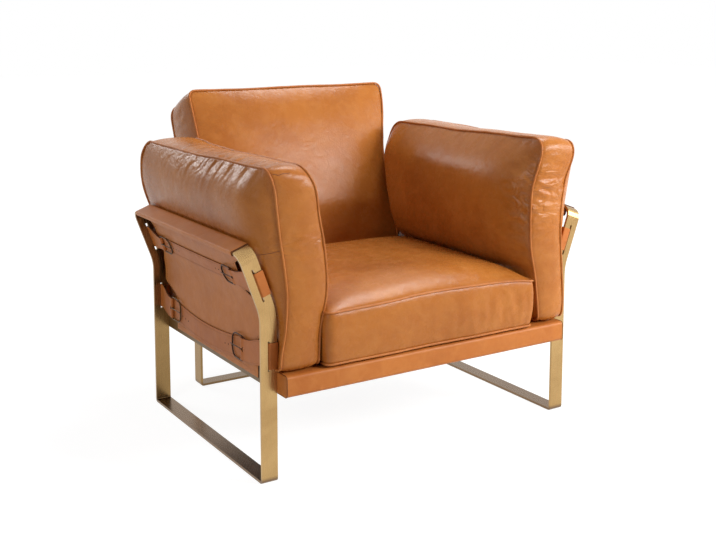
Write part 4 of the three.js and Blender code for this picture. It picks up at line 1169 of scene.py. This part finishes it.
def post_loop(which, level, post):
    loop, lace = LOOPS[which], LACES[level]
    reach = loop["reaches"][post]
    heel = BUCKLE_BAR + CLEARANCE + LEATHER / 2
    turn = LEATHER / 2 + CLEARANCE
    spread = 34.0
    offset = (LEATHER + CLEARANCE) / 2
    layers = reach - 4 * heel
    leaves, edge = BAR_THICKNESS + LEATHER, SLOT_WIDTH / 2
    path = bend((reach, BUCKLE_LIFT), heel, 90, -90, 8)
    path += [(x, BUCKLE_LIFT - lerp(heel, offset, smooth(reach - x, 0.0, reach - layers)))
             for x in np.linspace(reach, layers, 6)[1:]]
    path += [(x, BUCKLE_LIFT - offset) for x in np.linspace(layers, spread, 8)[1:]]
    path += bend((BAR_THICKNESS, -BAR_WIDTH / 2), turn, 20, -90, 5)
    path += bend((0, -BAR_WIDTH / 2), turn, -90, -180, 4)[1:]
    path += [(-turn, out) for out in np.linspace(-BAR_WIDTH / 2, -edge, 5)[1:-1]]
    path += bend((0, -edge), turn, 180, 90, 4)
    path += [(1.5, -0.6), (3.0, 0.0), (4.5, 0.0), (6.0, -0.4), (leaves, turn - edge)]
    path += [(x, lerp(turn - edge, BUCKLE_LIFT + offset, smooth(x, leaves, spread)))
             for x in np.linspace(leaves, spread, 5)[1:]]
    path += [(x, BUCKLE_LIFT + offset) for x in np.linspace(spread, layers, 8)[1:]]
    path += [(x, BUCKLE_LIFT + lerp(offset, heel, smooth(x, layers, reach)))
             for x in np.linspace(layers, reach, 6)[1:-1]]
    path = np.array(path)
    narrowing = smooth(path[:, 0], spread / 2, layers)
    middle = lerp(lace["slot"], lace["middle"], narrowing)
    height = lerp(lace["loop"], lace["strap"], narrowing)
    across = np.array([-0.5, -0.44, -0.3, -0.15, 0.0, 0.15, 0.3, 0.44, 0.5])
    window, window_depth, window_columns = 1.9, 5.6, slice(3, 5)
    near_heel = smooth(path[:, 0], reach - 9.0, reach - 2.0)
    up = middle[:, None] + across[None, :] * height[:, None]
    up[:, 3] = lerp(up[:, 3], middle - window, near_heel)
    up[:, 5] = lerp(up[:, 5], middle + window, near_heel)
    inward = np.broadcast_to(path[:, :1], up.shape)
    out = np.broadcast_to(path[:, 1:], up.shape)
    along = from_post(loop, post, inward)
    grid = on_loop(loop, out, along, up)
    opened = np.zeros((len(path), len(across) - 1), bool)
    at_heel = np.maximum(path[:, 0], np.roll(path[:, 0], -1)) > reach - window_depth
    opened[at_heel, window_columns] = True
    in_slot = (np.abs(path[:, 1]) < 1.0) & (path[:, 0] > 1.0) & (path[:, 0] < 6.5)
    filling = np.where(in_slot, 2.4 * np.exp(-((path[:, 0] - 3.6) / 2.6) ** 4), 0.0)
    name = lace_name(which, level, post) + "_post_loop"
    obj = slab(name + "_leather", grid, LEATHER, STRAP_HIDE, closed=True, opened=opened, thicker=filling)
    attach(obj, "chair_frame", name)
    outer = (path[:, 1] > BUCKLE_LIFT) & (path[:, 0] > spread - 6) & (path[:, 0] < layers)
    sew_edges(name, grid, away_from(loop, along, up), outer)


def hardware(which, level, post):
    """A buckle's ring and its tongue, bent from rod."""
    loop, lace = LOOPS[which], LACES[level]
    heel, tip = loop["reaches"][post], loop["reaches"][post] + BUCKLE_LENGTH
    half = lace["strap"] / 2 + BUCKLE_MARGIN + BUCKLE_BAR
    place = lace_name(which, level, post)
    round_tip, round_heel = 19, 3
    tip_height, heel_height = half - round_tip, half - round_heel
    ring = bend((tip - round_tip, tip_height), round_tip, 0, 90, 10)
    ring += bend((heel + round_heel, heel_height), round_heel, 90, 180, 4)
    ring += bend((heel + round_heel, -heel_height), round_heel, 180, 270, 4)
    ring += bend((tip - round_tip, -tip_height), round_tip, 270, 360, 10)
    ring = resample(ring, 80, closed=True)
    eye = BUCKLE_BAR + CLEARANCE + TONGUE_BAR
    pin = bend((heel, BUCKLE_LIFT), eye, 260, 90, 10)
    pin += [(x, BUCKLE_LIFT + eye) for x in np.linspace(heel + 4, tip + 4, 12)]
    pin = np.array(pin)

    def placed(inward, out, up):
        return on_loop(loop, out, from_post(loop, post, inward), lace["middle"] + up)

    ring = placed(ring[:, 0], BUCKLE_LIFT, ring[:, 1])
    rod = tube(place + "_buckle_rod", ring, BUCKLE_BAR, DARK_BRASS, sides=10)
    attach(rod, "chair_frame", place + "_buckle")
    slim = lerp(TONGUE_BAR, 0.8 * TONGUE_BAR, smooth(pin[:, 0], tip - 10.0, tip + 4.0))
    prong = tube(place + "_tongue_rod", placed(pin[:, 0], pin[:, 1], 0.0), slim, DARK_BRASS, False, 10)
    attach(prong, place + "_tongue", place + "_tongue")


for which in LOOPS:
    sling(which)
    for level in LACES:
        long_strap(which, level)
        for post in ("front", "rear"):
            post_loop(which, level, post)
            hardware(which, level, post)


# The front rail, covered in leather with a seam at each end's corner

def front_rail():
    low_y, high_y, low_z, high_z = -40.0, 20.0, 195.0, 243.0
    half = FRAME_WIDTH / 2 - BAR_WIDTH - CLEARANCE
    section = bend((low_y + 8, high_z - 8), 8, 180, 90, 6) + bend((high_y - 4, high_z - 4), 4, 90, 0, 3)
    section += bend((high_y - 4, low_z + 4), 4, 0, -90, 3) + bend((low_y + 8, low_z + 8), 8, 270, 180, 6)
    section = resample(section, 64, closed=True)
    middle = section.mean(axis=0)
    normals = np.roll(section, -1, axis=0) - np.roll(section, 1, axis=0)
    normals = np.stack([-normals[:, 1], normals[:, 0]], axis=1)
    normals /= np.linalg.norm(normals, axis=1)[:, None]
    normals *= np.sign(((section - middle) * normals).sum(axis=1))[:, None]
    near_end = half - np.array([0.0, 0.3, 1.2, 2.6])
    places = np.concatenate([-near_end, np.linspace(5 - half, half - 5, 96), near_end[::-1]])
    wave = Grain(91)
    rings = []
    for x in places:
        tuck = 2.4 * (1 - min((half - abs(x)) / 2.6, 1.0)) ** 2
        ring = section - normals * tuck
        across = np.full(len(section), x)
        ripple = wave(np.stack([across, ring[:, 0] * 2, ring[:, 1] * 2], axis=1), 46.0, 2)
        rings.append(np.column_stack([across, ring - normals * (0.35 * np.abs(ripple))[:, None]]))
    attach(loft("front_rail_leather", rings, RAIL_HIDE), "chair_frame", "front_rail")
    for side, name in ((-1, "left"), (1, "right")):
        ring = np.column_stack([np.full(len(section), side * (half - 2.2)), section])
        attach(tube("front_rail_seam_" + name, ring, 0.7, EDGE, sides=6), "chair_frame")


front_rail()
